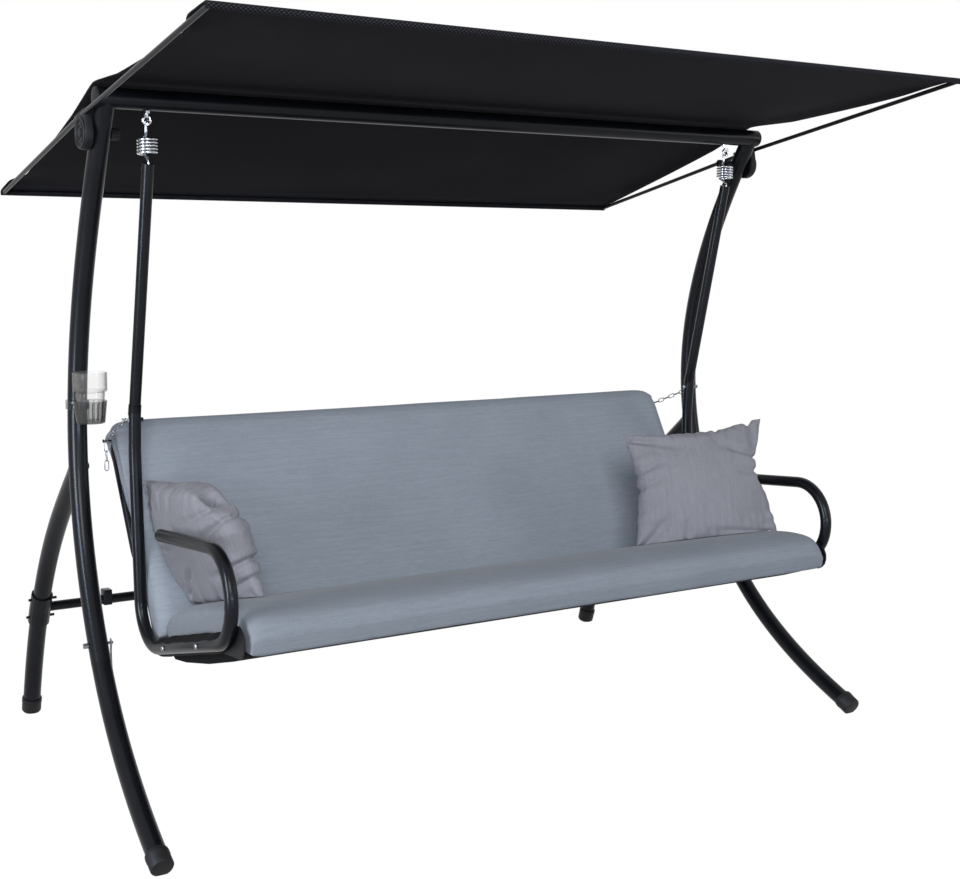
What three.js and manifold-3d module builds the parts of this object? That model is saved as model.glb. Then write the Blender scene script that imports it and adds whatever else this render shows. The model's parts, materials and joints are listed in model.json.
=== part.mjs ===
// Garden swing bench: a steel tube stand with bowed legs, a tilting cloth canopy, and a three-seat bench
// with a reclining back that hangs from the top beam on two coil springs.
// Millimetres, +Z up, +X along the beam, -Y towards the front. The floor is z = 0.
// The origin lies on the floor, under the middle of the whole outline.

import * as THREE from 'three';
import { mergeVertices } from 'three/addons/utils/BufferGeometryUtils.js';
import Module from 'manifold-3d';

const wasm = await Module();
wasm.setup();

// Gaps between pieces
const fit = 0.3;
const sleeveFit = 1.8;
const cutOverrun = 4;

// Facets
const mainSides = 12;
const railSides = 10;
const rodSides = 8;
const wireSides = 5;
const boreSideShare = 0.7;
const bendStep = THREE.MathUtils.degToRad(30);
const legSteps = 11;
const footSteps = 7;
const rearLegSteps = 8;

// Half the distance between the hangers, from which every other width is set off
const hangerSpread = 928;

// Stand tubes
const mainDiameter = 50;
const mainWall = 1.4;
const beamHeight = 1748;
const beamHalfLength = hangerSpread + 122;
const beamCapDome = 8;
const beamCapPlug = 18;

// Front leg: a bowed tube from the beam to a plug joint, then a curved foot that splays outwards
const legSpread = hangerSpread + 100;
const legBowSpread = hangerSpread + 95;
const legKneeSpread = hangerSpread + 102;
const legJointSpread = hangerSpread + 137;
const legFootSpread = hangerSpread + 166;
const legUpperReach = 170;
const legUpperHeight = 1460;
const legBowReach = 495;
const legBowHeight = 926;
const legJointReach = 30;
const legJointHeight = 357;
const footKneeLength = 286;
const footToeReach = -430;
const footToeHeight = 41;
const footEndReach = -472;
const footEndHeight = 19;
const plugLength = 64;
const plugSink = 22;
const plugWall = 3;
const footWall = 3.6;

// Rear leg, from the back of the front leg to its foot
const rearLegSpread = hangerSpread + 110;
const rearLegTopSetIn = 1.5;
const rearLegTopHeight = 830;
const rearLegUpperRun = 149;
const rearLegUpperDrop = 138;
const rearLegLowerReach = 671;
const rearLegLowerHeight = 538;
const rearLegEndReach = 821;
const rearLegEndHeight = 4;

// Foot caps
const capWall = 2;
const capLength = 46;
const capFloor = 16;

// Pins that lock the feet, with their spring clips
const pinHeight = 400;
const pinDiameter = 8;
const pinHeadDiameter = 14;
const pinHeadLength = 12;
const pinTail = 13;
const pinHoleFit = 0.6;
const clipWire = 2.6;
const clipDrop = 76;
const clipRise = 12;
const clipWidth = 11;
const clipBulge = 8;

// Rear crossbar and the clamps that hold it
const crossbarHeight = 352;
const crossbarDiameter = 28;
const crossbarWall = 1.2;
const clampLength = 104;
const clampWall = 3.4;
const clampSides = 16;
const clampStud = 8;
const clampStudReach = 13;
const clampStudSpacing = 58;
const couplingPlace = hangerSpread - 86;
const couplingWidth = 26;
const couplingHeight = 46;
const couplingDepth = 34;
const couplingRise = 8;

// Eye bolts under the beam
const eyeRadius = 9;
const eyeWire = 7.2;
const eyeStem = 8;
const eyeNutWidth = 17;
const eyeNutHeight = 6;
const eyeDrop = 22;

// Hanging springs
const springWire = 6.5;
const springRadius = 22.5;
const springTurns = 5;
const springPitch = 7.7;
const springStem = 33;
const springHookRadius = 7.7;
const springTopToPin = 108;

// Hangers, arm rails and armrests
const railDiameter = 32;
const railWall = 1.3;
const hangerPin = 7;
const hangerHead = 14;
const kneeReach = 137;
const kneeHeight = 980;
const railPlug = 52;
const railPlugSink = 14;
const railBowReach = 144;
const railBowHeight = 870;
const railBowRadius = 500;
const railHeelReach = 119;
const railHeelHeight = 352;
const railHeelRadius = 106;
const railToeReach = -488;
const railToeHeight = 518;
const railTopHeight = 728;
const railToeRadius = 111.5;
const armEndReach = -40;
const armEndHeight = 685;
const armCapLength = 7;
const armCapPlug = 16;

// Seat frame, in the plane of the lower arm rails, and the back frame that hinges on its rear tube
const seatHingeReach = 63;
const seatHingeHeight = 368;
const seatDepth = 560;
const seatHalfWidth = hangerSpread - 35;
const seatTube = 25;
const seatTubeWall = 1.2;
const seatSeam = 1;
const seatCorner = 60;
const seatWeb = 3;
const slingSag = 50;
const slingShares = [[0, 0.3], [0.05, 0.7], [0.2, 0.88], [0.5, 1], [0.8, 0.93], [0.94, 0.8], [1, 0.4]];
const slingWallTop = 12;
const seatBolt = 8;
const seatBoltHead = 14;
const seatBoltHeadHeight = 4;
const seatBoltPlaces = [150, 385];
const endPlateRadius = 38;
const endPlateBack = 445;
const endPlateNose = 558;
const endPlateThickness = 4.4;

const backSlope = THREE.MathUtils.degToRad(30.5);
const backStart = 206;
const backEnd = 612;
const backHalfWidth = hangerSpread - 14;
const lugPlace = 700;
const lugWidth = 22;
const lugThickness = 9;
const lugRing = 18;
const lugLap = 3;
const slingEnd = 574;
const chainPegDiameter = 4;
const chainPegHead = 10;
const chainPegReach = 8;
const chainPegPlace = 583;
const chainPegFront = 9;

// Chains
const chainWire = 2.5;
const linkWidth = 13;
const linkOverlap = 0.9;
const linkSteps = 8;
const tautLinks = 9;
const tailLinks = 3;
const chainPlane = hangerSpread + 23.2;
const chainHookOut = 24;
const chainBoltHeight = 956;
const chainBoltDiameter = 6;
const chainBoltHead = 13;
const chainBoltNut = 5;
const chainBoltReach = 14;
const chainBoltCap = 3;

// Cushions
const seatPadHalfWidth = seatHalfWidth;
const seatPadBottom = 17;
const seatPadCrown = 97;
const seatPadRear = 43;
const seatPadFront = 607;
const seatPadLip = -38;
const backPadHalfWidth = backHalfWidth + 12;
const backPadLowerHalfWidth = backHalfWidth - 12;
const backPadTop = 633;
const backPadCorner = 46;
const backPadFrontLine = [[20, 36], [36, 50], [62, 60], [110, 67], [180, 69], [300, 69], [420, 69], [520, 68],
  [578, 66], [598, 63], [618, 52], [629, 36], [633, 22]];
const backPadRearLine = [[20, -12], [32, -19], [62, -21], [110, -21], [176, -19], [222, 17], [420, 17], [520, 17],
  [578, 17], [586, -20], [610, -22], [626, -14], [632, 2]];
const hoodHalfWidth = backHalfWidth + 27;
const hoodStart = 584;
const hoodFull = 600;
const padEnd = 42;
const pillowWidth = 420;
const pillowHeight = 352;
const pillowThickness = 124;
const pillowRest = 0.6;
const pillowPull = 0.07;
const rightPillowSetIn = 236;
const rightPillowRun = 344.4;
const rightPillowRise = 262.4;
const rightPillowTurn = THREE.MathUtils.degToRad(-21.3);
const rightPillowTip = THREE.MathUtils.degToRad(-4.1);
const rightPillowLean = THREE.MathUtils.degToRad(66.6);
const leftPillowSetIn = 110;
const leftPillowRun = 184.1;
const leftPillowRise = 252.4;
const leftPillowTurn = THREE.MathUtils.degToRad(95.9);
const leftPillowTip = THREE.MathUtils.degToRad(14.5);
const leftPillowLean = THREE.MathUtils.degToRad(77.8);

// Canopy: rods, cloth, and the tilt hubs that clamp it to the legs
const pivotReach = 55;
const pivotHeight = 1667;
const tiltAtRest = THREE.MathUtils.degToRad(11.4);
const rodDiameter = 12;
const rodSpread = hangerSpread + 141;
const rodHeight = 41;
const rodEndHeight = 27.5;
const canopyFront = 840;
const canopyRear = 765;
const clothThickness = 2.4;
const clothHalfWidth = hangerSpread + 148;
const clothBeamGap = 1.2;
const hubWidth = 88;
const hubTop = 51;
const hubInnerGap = 1;
const hubThickness = 24;
const hubRim = 7;
const hubRecess = 13;
const hubSocketDepth = 26;
const hubBolt = 10;
const hubBoltLength = 92;
const leverBoss = 15;
const leverBossLength = 21;
const leverEnd = 12;
const leverReach = 32;
const leverThickness = 7;
const leverHole = 6;

// Cup holder on the left front leg, and its tumbler
const holderHeight = 947;
const holderRise = 58;
const holderTopRadius = 42.5;
const holderBottomRadius = 36;
const holderWall = 2;
const holderAside = 11;
const holderStandOff = 2.6;
const holderBridgePlace = 0.43;
const holderBridgeWidth = 15;
const holderBridgeDepth = 8.4;
const holderRing = 5;
const holderRingHeight = 24;
const holderRingPlace = 30;
const holderSides = 16;
const tumblerHeight = 128;
const tumblerTopRadius = 43.5;
const tumblerBottomRadius = 32.4;
const tumblerWall = 1.8;
const tumblerLift = 0.4;

// Materials

const paint = new THREE.MeshStandardMaterial({ color: 0x23262b, roughness: 0.35, metalness: 0.4 });
const chrome = new THREE.MeshStandardMaterial({ color: 0xd5d8db, roughness: 0.15, metalness: 1 });
const zinc = new THREE.MeshStandardMaterial({ color: 0x9a9da0, roughness: 0.35, metalness: 0.9 });
const blackPlastic = new THREE.MeshStandardMaterial({ color: 0x17181a, roughness: 0.5, metalness: 0 });
const smokyPlastic = new THREE.MeshStandardMaterial({
  color: 0x8d9298, roughness: 0.15, metalness: 0, transparent: true, opacity: 0.5 });
const clearPlastic = new THREE.MeshStandardMaterial({
  color: 0xdfe4e8, roughness: 0.08, metalness: 0, transparent: true, opacity: 0.35 });
const blackCloth = new THREE.MeshStandardMaterial({ color: 0x1b1c21, roughness: 0.9, metalness: 0 });
const blackWeb = new THREE.MeshStandardMaterial({ color: 0x1d1e20, roughness: 0.85, metalness: 0 });
const greyCloth = new THREE.MeshStandardMaterial({ color: 0x8f969f, roughness: 0.95, metalness: 0 });

// Solids and meshes

function outward(geometry) {
  // A closed surface whose enclosed volume is negative has its triangles turned round
  const flat = geometry.index ? geometry : mergeVertices(geometry);
  const place = flat.attributes.position;
  const index = flat.index.array;
  const a = new THREE.Vector3();
  const b = new THREE.Vector3();
  const c = new THREE.Vector3();
  let volume = 0;
  for (let i = 0; i < index.length; i += 3) {
    a.fromBufferAttribute(place, index[i]);
    b.fromBufferAttribute(place, index[i + 1]);
    c.fromBufferAttribute(place, index[i + 2]);
    volume += a.dot(b.cross(c));
  }
  if (volume < 0) {
    for (let i = 0; i < index.length; i += 3) {
      [index[i + 1], index[i + 2]] = [index[i + 2], index[i + 1]];
    }
  }
  return flat;
}

function clean(geometry) {
  const bare = geometry.clone();
  for (const name of Object.keys(bare.attributes)) {
    if (name !== 'position') bare.deleteAttribute(name);
  }
  return outward(mergeVertices(bare, 1e-3));
}

function solid(geometry) {
  const bare = clean(geometry);
  return new wasm.Manifold(new wasm.Mesh({
    numProp: 3,
    vertProperties: Float32Array.from(bare.attributes.position.array),
    triVerts: Uint32Array.from(bare.index.array),
  }));
}

function geometryOf(body) {
  const mesh = body.getMesh();
  const geometry = new THREE.BufferGeometry();
  geometry.setAttribute('position', new THREE.BufferAttribute(Float32Array.from(mesh.vertProperties), 3));
  geometry.setIndex(Array.from(mesh.triVerts));
  return geometry;
}

function join(...pieces) {
  return geometryOf(pieces.map(solid).reduce((whole, piece) => whole.add(piece)));
}

function cut(piece, ...tools) {
  return geometryOf(tools.map(solid).reduce((whole, tool) => whole.subtract(tool), solid(piece)));
}

function largest(geometry) {
  // The biggest part of a solid that a cut has left in several
  const parts = solid(geometry).decompose();
  return geometryOf(parts.reduce((best, part) => (part.volume() > best.volume() ? part : best)));
}

function mirrored(geometry) {
  const other = clean(geometry);
  other.scale(-1, 1, 1);
  return outward(other);
}

function piece(name, geometry, material) {
  const mesh = new THREE.Mesh(clean(geometry), material);
  mesh.name = name;
  return mesh;
}

function pair(name, geometry, material) {
  // Built for the left side, at negative x, and mirrored for the right
  return [piece(`${name}_left`, geometry, material), piece(`${name}_right`, mirrored(geometry), material)];
}

// Outlines and paths

function polygon(radius, sides, centreX = 0, centreY = 0) {
  return Array.from({ length: sides }, (_, i) => {
    const angle = (i + 0.5) / sides * 2 * Math.PI;
    return new THREE.Vector2(centreX + radius * Math.cos(angle), centreY + radius * Math.sin(angle));
  });
}

const boreSides = (sides) => Math.round(sides * boreSideShare);
const plugFor = (bore, sides) => bore * Math.cos(Math.PI / boreSides(sides)) - 2 * fit;

function section(outer, inner, sides) {
  const shape = new THREE.Shape(polygon(outer, sides));
  if (inner > 0) shape.holes.push(new THREE.Path(polygon(inner, boreSides(sides))));
  return shape;
}

class Route extends THREE.Curve {
  // A curve through given points, with a ring of the tube at each point.
  // The first and last rings stand square to the run there, or to a direction that is given.
  constructor(points, startFacing = null, endFacing = null) {
    super();
    this.points = points;
    this.startFacing = startFacing;
    this.endFacing = endFacing;
  }

  get steps() {
    return this.points.length - 1;
  }

  get lastRun() {
    return this.points[this.steps].clone().sub(this.points[this.steps - 1]).normalize();
  }

  getPoint(t, target = new THREE.Vector3()) {
    const place = Math.min(Math.max(t, 0), 1) * this.steps;
    const i = Math.min(Math.floor(place + 1e-9), this.steps - 1);
    return target.copy(this.points[i]).lerp(this.points[i + 1], place - i);
  }

  getPointAt(u, target) {
    return this.getPoint(u, target);
  }

  getTangentAt(u, target = new THREE.Vector3()) {
    const i = Math.round(u * this.steps);
    if (i === 0 && this.startFacing) return target.copy(this.startFacing);
    if (i === this.steps && this.endFacing) return target.copy(this.endFacing);
    const before = this.points[Math.max(i - 1, 0)];
    const after = this.points[Math.min(i + 1, this.steps)];
    return target.copy(after).sub(before).normalize();
  }
}

function tube(route, outerDiameter, innerDiameter, sides) {
  return new THREE.ExtrudeGeometry(section(outerDiameter / 2, innerDiameter / 2, sides), {
    steps: route.steps, extrudePath: route, bevelEnabled: false,
  });
}

function rod(start, end, diameter, sides) {
  return tube(new Route([start, end]), diameter, 0, sides);
}

function bezier(points, steps) {
  return new Route(new THREE.CubicBezierCurve3(...points).getSpacedPoints(steps));
}

function bent(corners, radii) {
  // Straight runs between corners, with an arc of the given radius at each inner corner
  const points = [corners[0]];
  for (let i = 1; i < corners.length - 1; i += 1) {
    const inward = corners[i].clone().sub(corners[i - 1]).normalize();
    const outwardRun = corners[i + 1].clone().sub(corners[i]).normalize();
    const turn = inward.angleTo(outwardRun);
    const side = outwardRun.clone().addScaledVector(inward, -inward.dot(outwardRun)).normalize();
    const radius = radii[i - 1];
    const start = corners[i].clone().addScaledVector(inward, -radius * Math.tan(turn / 2));
    const centre = start.clone().addScaledVector(side, radius);
    const steps = Math.max(2, Math.round(turn / bendStep));
    for (let k = 0; k <= steps; k += 1) {
      const angle = turn * k / steps;
      points.push(centre.clone()
        .addScaledVector(side, -radius * Math.cos(angle))
        .addScaledVector(inward, radius * Math.sin(angle)));
    }
  }
  points.push(corners[corners.length - 1]);
  return new Route(points);
}

function turned(profile, origin, axis, sides) {
  // A profile of radius and height, turned about an axis through the origin
  const outline = profile.map(([radius, height]) => new THREE.Vector2(radius, height));
  const geometry = new THREE.LatheGeometry(outline, sides);
  const spin = new THREE.Quaternion().setFromUnitVectors(new THREE.Vector3(0, 1, 0), axis.clone().normalize());
  return geometry.applyQuaternion(spin).translate(origin.x, origin.y, origin.z);
}

function slab(shape, start, thickness) {
  // A flat outline in Y and Z, thickened along X
  const geometry = new THREE.ExtrudeGeometry(shape, { depth: thickness, bevelEnabled: false });
  const axes = new THREE.Matrix4().makeBasis(
    new THREE.Vector3(0, 1, 0), new THREE.Vector3(0, 0, 1), new THREE.Vector3(1, 0, 0));
  return geometry.applyMatrix4(axes).translate(start, 0, 0);
}

function box(width, depth, height, x, y, z) {
  return new THREE.BoxGeometry(width, depth, height).translate(x, y, z);
}

const at = (x, y, z) => new THREE.Vector3(x, y, z);
const left = (spread, y, z) => new THREE.Vector3(-spread, y, z);
const alongX = at(1, 0, 0);

// Stand

const mainBore = mainDiameter - 2 * mainWall;

const legRoute = bezier([
  left(legSpread, 0, beamHeight),
  left(legBowSpread, legUpperReach, legUpperHeight),
  left(legKneeSpread, legBowReach, legBowHeight),
  left(legJointSpread, legJointReach, legJointHeight),
], legSteps);

const legEndDirection = legRoute.lastRun;
const footEnd = left(legFootSpread, footEndReach, footEndHeight);
const footToe = left(legFootSpread, footToeReach, footToeHeight);
const footStart = legRoute.points[legRoute.steps].clone().addScaledVector(legEndDirection, fit);
const footRoute = bezier([
  footStart,
  footStart.clone().addScaledVector(legEndDirection, footKneeLength),
  footToe,
  footEnd.clone().addScaledVector(footEnd.clone().sub(footToe).normalize(), -capFloor - fit),
], footSteps);
footRoute.startFacing = legEndDirection;

const rearEnd = left(rearLegSpread, rearLegEndReach, rearLegEndHeight);
const rearLower = left(rearLegSpread, rearLegLowerReach, rearLegLowerHeight);
const rearTopReach = pointAtHeight(legRoute, rearLegTopHeight).y + rearLegTopSetIn;
const rearRoute = bezier([
  left(rearLegSpread, rearTopReach, rearLegTopHeight),
  left(rearLegSpread, rearTopReach + rearLegUpperRun, rearLegTopHeight - rearLegUpperDrop),
  rearLower,
  rearEnd.clone().addScaledVector(rearEnd.clone().sub(rearLower).normalize(), -capFloor - fit),
], rearLegSteps);

function pointAtHeight(route, height) {
  // The point of a falling route at a height, between its two nearest rings
  const i = route.points.findIndex((point) => point.z < height);
  const above = route.points[i - 1];
  const below = route.points[i];
  return above.clone().lerp(below, (above.z - height) / (above.z - below.z));
}

const pinPlace = pointAtHeight(legRoute, pinHeight);
const tiltPivot = at(pointAtHeight(legRoute, pivotHeight).x, pivotReach, pivotHeight);

function across(place, diameter, sides) {
  // A straight cutter along X through a tube at a place
  const reach = alongX.clone().multiplyScalar(mainDiameter);
  return rod(place.clone().sub(reach), place.clone().add(reach), diameter, sides);
}

function topBeam() {
  const route = new Route([at(-beamHalfLength, 0, beamHeight), at(beamHalfLength, 0, beamHeight)]);
  return tube(route, mainDiameter, mainBore, mainSides);
}

function beamCap() {
  const radius = mainDiameter / 2;
  const plug = plugFor(mainBore, mainSides) / 2;
  const profile = [[0, -beamCapPlug], [plug, -beamCapPlug], [plug, fit], [radius, fit],
    [radius, beamCapDome / 2], [radius * 0.8, beamCapDome * 0.85], [0, beamCapDome]];
  return turned(profile, at(-beamHalfLength, 0, beamHeight), at(-1, 0, 0), mainSides);
}

function frontLeg() {
  const beamCutter = rod(at(-beamHalfLength - mainDiameter, 0, beamHeight), at(0, 0, beamHeight),
    mainDiameter + 2 * fit, 2 * mainSides);
  return cut(tube(legRoute, mainDiameter, mainBore, mainSides), beamCutter,
    across(tiltPivot, hubBolt + 2 * pinHoleFit, rodSides), across(pinPlace, pinDiameter + 2 * pinHoleFit, rodSides));
}

function frontFoot() {
  // The foot's tube with a narrower plug that stands inside the leg
  const plugOuter = plugFor(mainBore, mainSides);
  const plug = tube(new Route([
    footStart.clone().addScaledVector(legEndDirection, -plugLength),
    footStart.clone().addScaledVector(legEndDirection, plugSink)]),
  plugOuter, plugOuter - 2 * plugWall, mainSides);
  const body = join(tube(footRoute, mainDiameter, mainDiameter - 2 * footWall, mainSides), plug);
  return cut(body, across(pinPlace, pinDiameter + 2 * pinHoleFit, rodSides));
}

function rearLeg() {
  const frontOutside = tube(legRoute, mainDiameter + 2 * fit, 0, mainSides);
  return cut(tube(rearRoute, mainDiameter, mainBore, mainSides), frontOutside);
}

function footCap(route) {
  // A cup over the tube's end, cut flat where it stands on the floor
  const direction = route.lastRun;
  const end = route.points[route.steps].clone().addScaledVector(direction, capFloor + fit);
  const inner = (mainDiameter / 2 + 2 * fit) / Math.cos(Math.PI / mainSides);
  const outer = inner + capWall;
  const profile = [[0, 0], [outer, 0], [outer, -capLength], [inner, -capLength], [inner, -capFloor], [0, -capFloor]];
  const floorCutter = box(3 * mainDiameter, 3 * mainDiameter, mainDiameter, end.x, end.y, -mainDiameter / 2);
  return cut(turned(profile, end, direction, mainSides), floorCutter);
}

function legPin() {
  const inner = pinPlace.x + mainDiameter / 2;
  const outer = pinPlace.x - mainDiameter / 2 - fit;
  const shaft = rod(at(outer - fit, pinPlace.y, pinPlace.z), at(inner + pinTail, pinPlace.y, pinPlace.z),
    pinDiameter, rodSides);
  const head = rod(at(outer - pinHeadLength, pinPlace.y, pinPlace.z), at(outer, pinPlace.y, pinPlace.z),
    pinHeadDiameter, rodSides);
  const clipX = inner + pinTail / 2;
  const clipHole = rod(at(clipX, pinPlace.y, pinPlace.z - pinDiameter), at(clipX, pinPlace.y, pinPlace.z + pinDiameter),
    clipWire + 2 * pinHoleFit, rodSides);
  return cut(join(shaft, head), clipHole);
}

function legClip() {
  // One straight leg through the pin, a turn at the bottom, and a bulged leg beside it
  const x = pinPlace.x + mainDiameter / 2 + pinTail / 2;
  const y = pinPlace.y;
  const z = pinPlace.z;
  const points = [
    at(x, y, z + clipRise), at(x, y, z), at(x, y, z - clipDrop * 0.6), at(x, y - clipWidth * 0.05, z - clipDrop),
    at(x, y - clipWidth * 0.5, z - clipDrop - clipWidth * 0.5), at(x, y - clipWidth * 0.95, z - clipDrop),
    at(x, y - clipWidth * 0.7, z - clipDrop * 0.5), at(x, y - clipWidth * 0.6, z - clipDrop * 0.2),
    at(x, y - clipWidth * 0.5 - clipBulge * 0.6, z - clipBulge * 0.4),
    at(x, y - clipWidth * 0.5 - clipBulge * 0.7, z + clipBulge * 0.6),
    at(x, y - clipWidth * 0.6, z + clipRise)];
  return tube(new Route(points), clipWire, 0, wireSides);
}

const clampInner = (mainDiameter / 2 + 3 * fit) / Math.cos(Math.PI / boreSides(clampSides));
const clampOuter = clampInner + clampWall;
const clampCentre = pointAtHeight(rearRoute, crossbarHeight);

function clampRoute(extra) {
  const low = pointAtHeight(rearRoute, crossbarHeight - clampLength / 2 * 0.86);
  const high = pointAtHeight(rearRoute, crossbarHeight + clampLength / 2 * 0.86);
  const run = low.clone().sub(high).normalize();
  return new Route([high.addScaledVector(run, -extra), clampCentre, low.addScaledVector(run, extra)]);
}

function crossbarClamp() {
  const sleeve = tube(clampRoute(0), 2 * clampOuter, 2 * clampInner, clampSides);
  const studs = [-1, 1].map((side) => {
    const place = pointAtHeight(rearRoute, crossbarHeight + side * clampStudSpacing / 2);
    const wall = clampOuter - clampWall / 2;
    const stud = (direction, reach) => rod(
      at(place.x + direction * wall * 0.96, place.y, place.z),
      at(place.x + direction * (clampOuter + reach), place.y, place.z), clampStud, rodSides);
    return [stud(1, clampStudReach), stud(-1, clampStudReach / 2)];
  });
  return join(sleeve, ...studs.flat());
}

function rearCrossbar() {
  const y = clampCentre.y;
  const route = new Route([at(clampCentre.x, y, crossbarHeight), at(-clampCentre.x, y, crossbarHeight)]);
  const bore = crossbarDiameter - 2 * crossbarWall;
  const bar = tube(route, crossbarDiameter, bore, railSides);
  const clampOutside = tube(clampRoute(cutOverrun), 2 * (clampOuter + fit), 0, clampSides);
  const couplings = [-1, 1].map((side) => {
    const block = box(couplingWidth, couplingDepth, couplingHeight,
      side * couplingPlace, y, crossbarHeight + couplingRise);
    const core = new Route([at(side * couplingPlace - couplingWidth, y, crossbarHeight),
      at(side * couplingPlace + couplingWidth, y, crossbarHeight)]);
    return cut(block, tube(core, bore + crossbarWall, 0, railSides));
  });
  return cut(join(bar, ...couplings), clampOutside, mirrored(clampOutside));
}

// Hanging gear

const beamBottom = beamHeight - mainDiameter / 2;
const eyeCentre = left(hangerSpread, 0, beamBottom - eyeDrop);
const swingAxis = eyeCentre.clone().add(at(0, 0, -eyeRadius));
const hangerPinPlace = swingAxis.clone().add(at(0, 0, -springTopToPin));

function eyeBolt() {
  const ring = new THREE.TorusGeometry(eyeRadius, eyeWire / 2, 6, 12)
    .rotateX(Math.PI / 2)
    .translate(eyeCentre.x, eyeCentre.y, eyeCentre.z);
  const x = eyeCentre.x;
  const top = beamBottom - fit;
  const stem = rod(at(x, 0, top), at(x, 0, eyeCentre.z + eyeRadius), eyeStem, rodSides);
  const nut = rod(at(x, 0, top), at(x, 0, top - eyeNutHeight), eyeNutWidth, 6);
  return join(ring.applyMatrix4(new THREE.Matrix4()), stem, nut);
}

function springPoints() {
  // Upper hook over the eye, the coil, then the lower hook under the hanger's pin
  const x = swingAxis.x;
  const coilHeight = springTurns * springPitch;
  const coilTop = swingAxis.z - springStem;
  const points = [];
  const hook = (centre, from, to, count) => {
    for (let k = 0; k <= count; k += 1) {
      const angle = from + (to - from) * k / count;
      points.push(at(x, centre.y + springHookRadius * Math.cos(angle), centre.z + springHookRadius * Math.sin(angle)));
    }
  };
  const lowerRise = springTopToPin - springStem - coilHeight;
  hook(swingAxis, Math.PI * 1.15, 0, 7);
  points.push(at(x, springHookRadius * 0.9, coilTop + springStem * 0.5));
  points.push(at(x, springRadius * 0.55, coilTop + springStem * 0.18));
  const count = springTurns * 8;
  for (let k = 0; k <= count; k += 1) {
    const angle = Math.PI / 2 - k / 8 * 2 * Math.PI;
    points.push(at(x + springRadius * Math.cos(angle), springRadius * Math.sin(angle),
      coilTop - coilHeight * k / count));
  }
  const pinZ = hangerPinPlace.z;
  points.push(at(x, springRadius * 0.35, pinZ + lowerRise * 0.82));
  points.push(at(x, -springHookRadius * 0.7, pinZ + lowerRise * 0.6));
  points.push(at(x, -springHookRadius, pinZ + lowerRise * 0.3));
  hook(hangerPinPlace, Math.PI, Math.PI * 2.05, 6);
  return points;
}

function leastGap(points, wire, apart) {
  // The least distance between stretches of a wire that are some way apart along it, less its thickness
  const run = [0];
  for (let i = 1; i < points.length; i += 1) run.push(run[i - 1] + points[i].distanceTo(points[i - 1]));
  let least = Infinity;
  for (let i = 0; i < points.length; i += 1) {
    for (let k = i + 1; k < points.length; k += 1) {
      if (run[k] - run[i] > apart) least = Math.min(least, points[i].distanceTo(points[k]) - wire);
    }
  }
  return least;
}

function hangerSpring() {
  return tube(new Route(springPoints()), springWire, 0, wireSides);
}

const railBore = railDiameter - 2 * railWall;
const knee = left(hangerSpread, kneeReach, kneeHeight);
const hangerRun = knee.clone().sub(hangerPinPlace).normalize();
const railPlugOuter = plugFor(railBore, railSides);
const railFirstRun = left(hangerSpread, railBowReach, railBowHeight).sub(knee).normalize();
const mitre = hangerRun.clone().add(railFirstRun).normalize();

function hanger() {
  const top = hangerPinPlace.clone().addScaledVector(hangerRun, -hangerHead);
  const main = tube(new Route([top, knee], null, mitre), railDiameter, railBore, railSides);
  const pin = rod(at(hangerPinPlace.x - railDiameter / 2, 0, hangerPinPlace.z),
    at(hangerPinPlace.x + railDiameter / 2, 0, hangerPinPlace.z), hangerPin, rodSides);
  const sink = knee.clone().addScaledVector(hangerRun, -railPlugSink);
  const plugEnd = knee.clone().addScaledVector(railFirstRun, railPlug);
  const plug = tube(new Route([sink, knee, plugEnd]), railPlugOuter, railPlugOuter - 3 * railWall, railSides);
  const collar = tube(new Route([sink, knee], null, mitre),
    railDiameter - railWall, railPlugOuter - 3 * railWall, railSides);
  const boltHole = rod(at(-hangerSpread - railDiameter, chainBolt.y, chainBolt.z),
    at(-hangerSpread + railDiameter, chainBolt.y, chainBolt.z), chainBoltDiameter + 2 * pinHoleFit, rodSides);
  return cut(join(main, pin, plug, collar), boltHole);
}

const railRoute = bent([
  knee.clone().addScaledVector(railFirstRun, fit * 2),
  left(hangerSpread, railBowReach, railBowHeight),
  left(hangerSpread, railHeelReach, railHeelHeight),
  left(hangerSpread, railToeReach, railToeHeight),
  left(hangerSpread, railToeReach, railTopHeight),
  left(hangerSpread, armEndReach, armEndHeight),
], [railBowRadius, railHeelRadius, railToeRadius, railToeRadius]);
railRoute.startFacing = mitre;

const chainBolt = knee.clone().addScaledVector(railFirstRun, (kneeHeight - chainBoltHeight) / -railFirstRun.z);

function armRail() {
  const boltHole = rod(at(-hangerSpread - railDiameter, chainBolt.y, chainBolt.z),
    at(-hangerSpread + railDiameter, chainBolt.y, chainBolt.z), chainBoltDiameter + 2 * pinHoleFit, rodSides);
  const seatHoles = seatBoltPlaces.map((place) => {
    const centre = seatPoint(-hangerSpread, place, 0);
    const reach = alongX.clone().multiplyScalar(railDiameter);
    return rod(centre.clone().sub(reach), centre.clone().add(reach), seatBolt + 2 * pinHoleFit, rodSides);
  });
  return cut(tube(railRoute, railDiameter, railBore, railSides), boltHole, ...seatHoles);
}

function armCap() {
  const end = railRoute.points[railRoute.steps];
  const radius = railDiameter / 2;
  const plug = plugFor(railBore, railSides) / 2;
  const profile = [[0, -armCapPlug], [plug, -armCapPlug], [plug, fit], [radius, fit],
    [radius, armCapLength * 0.5], [radius * 0.8, armCapLength * 0.9], [0, armCapLength]];
  return turned(profile, end, railRoute.lastRun, railSides);
}

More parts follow.
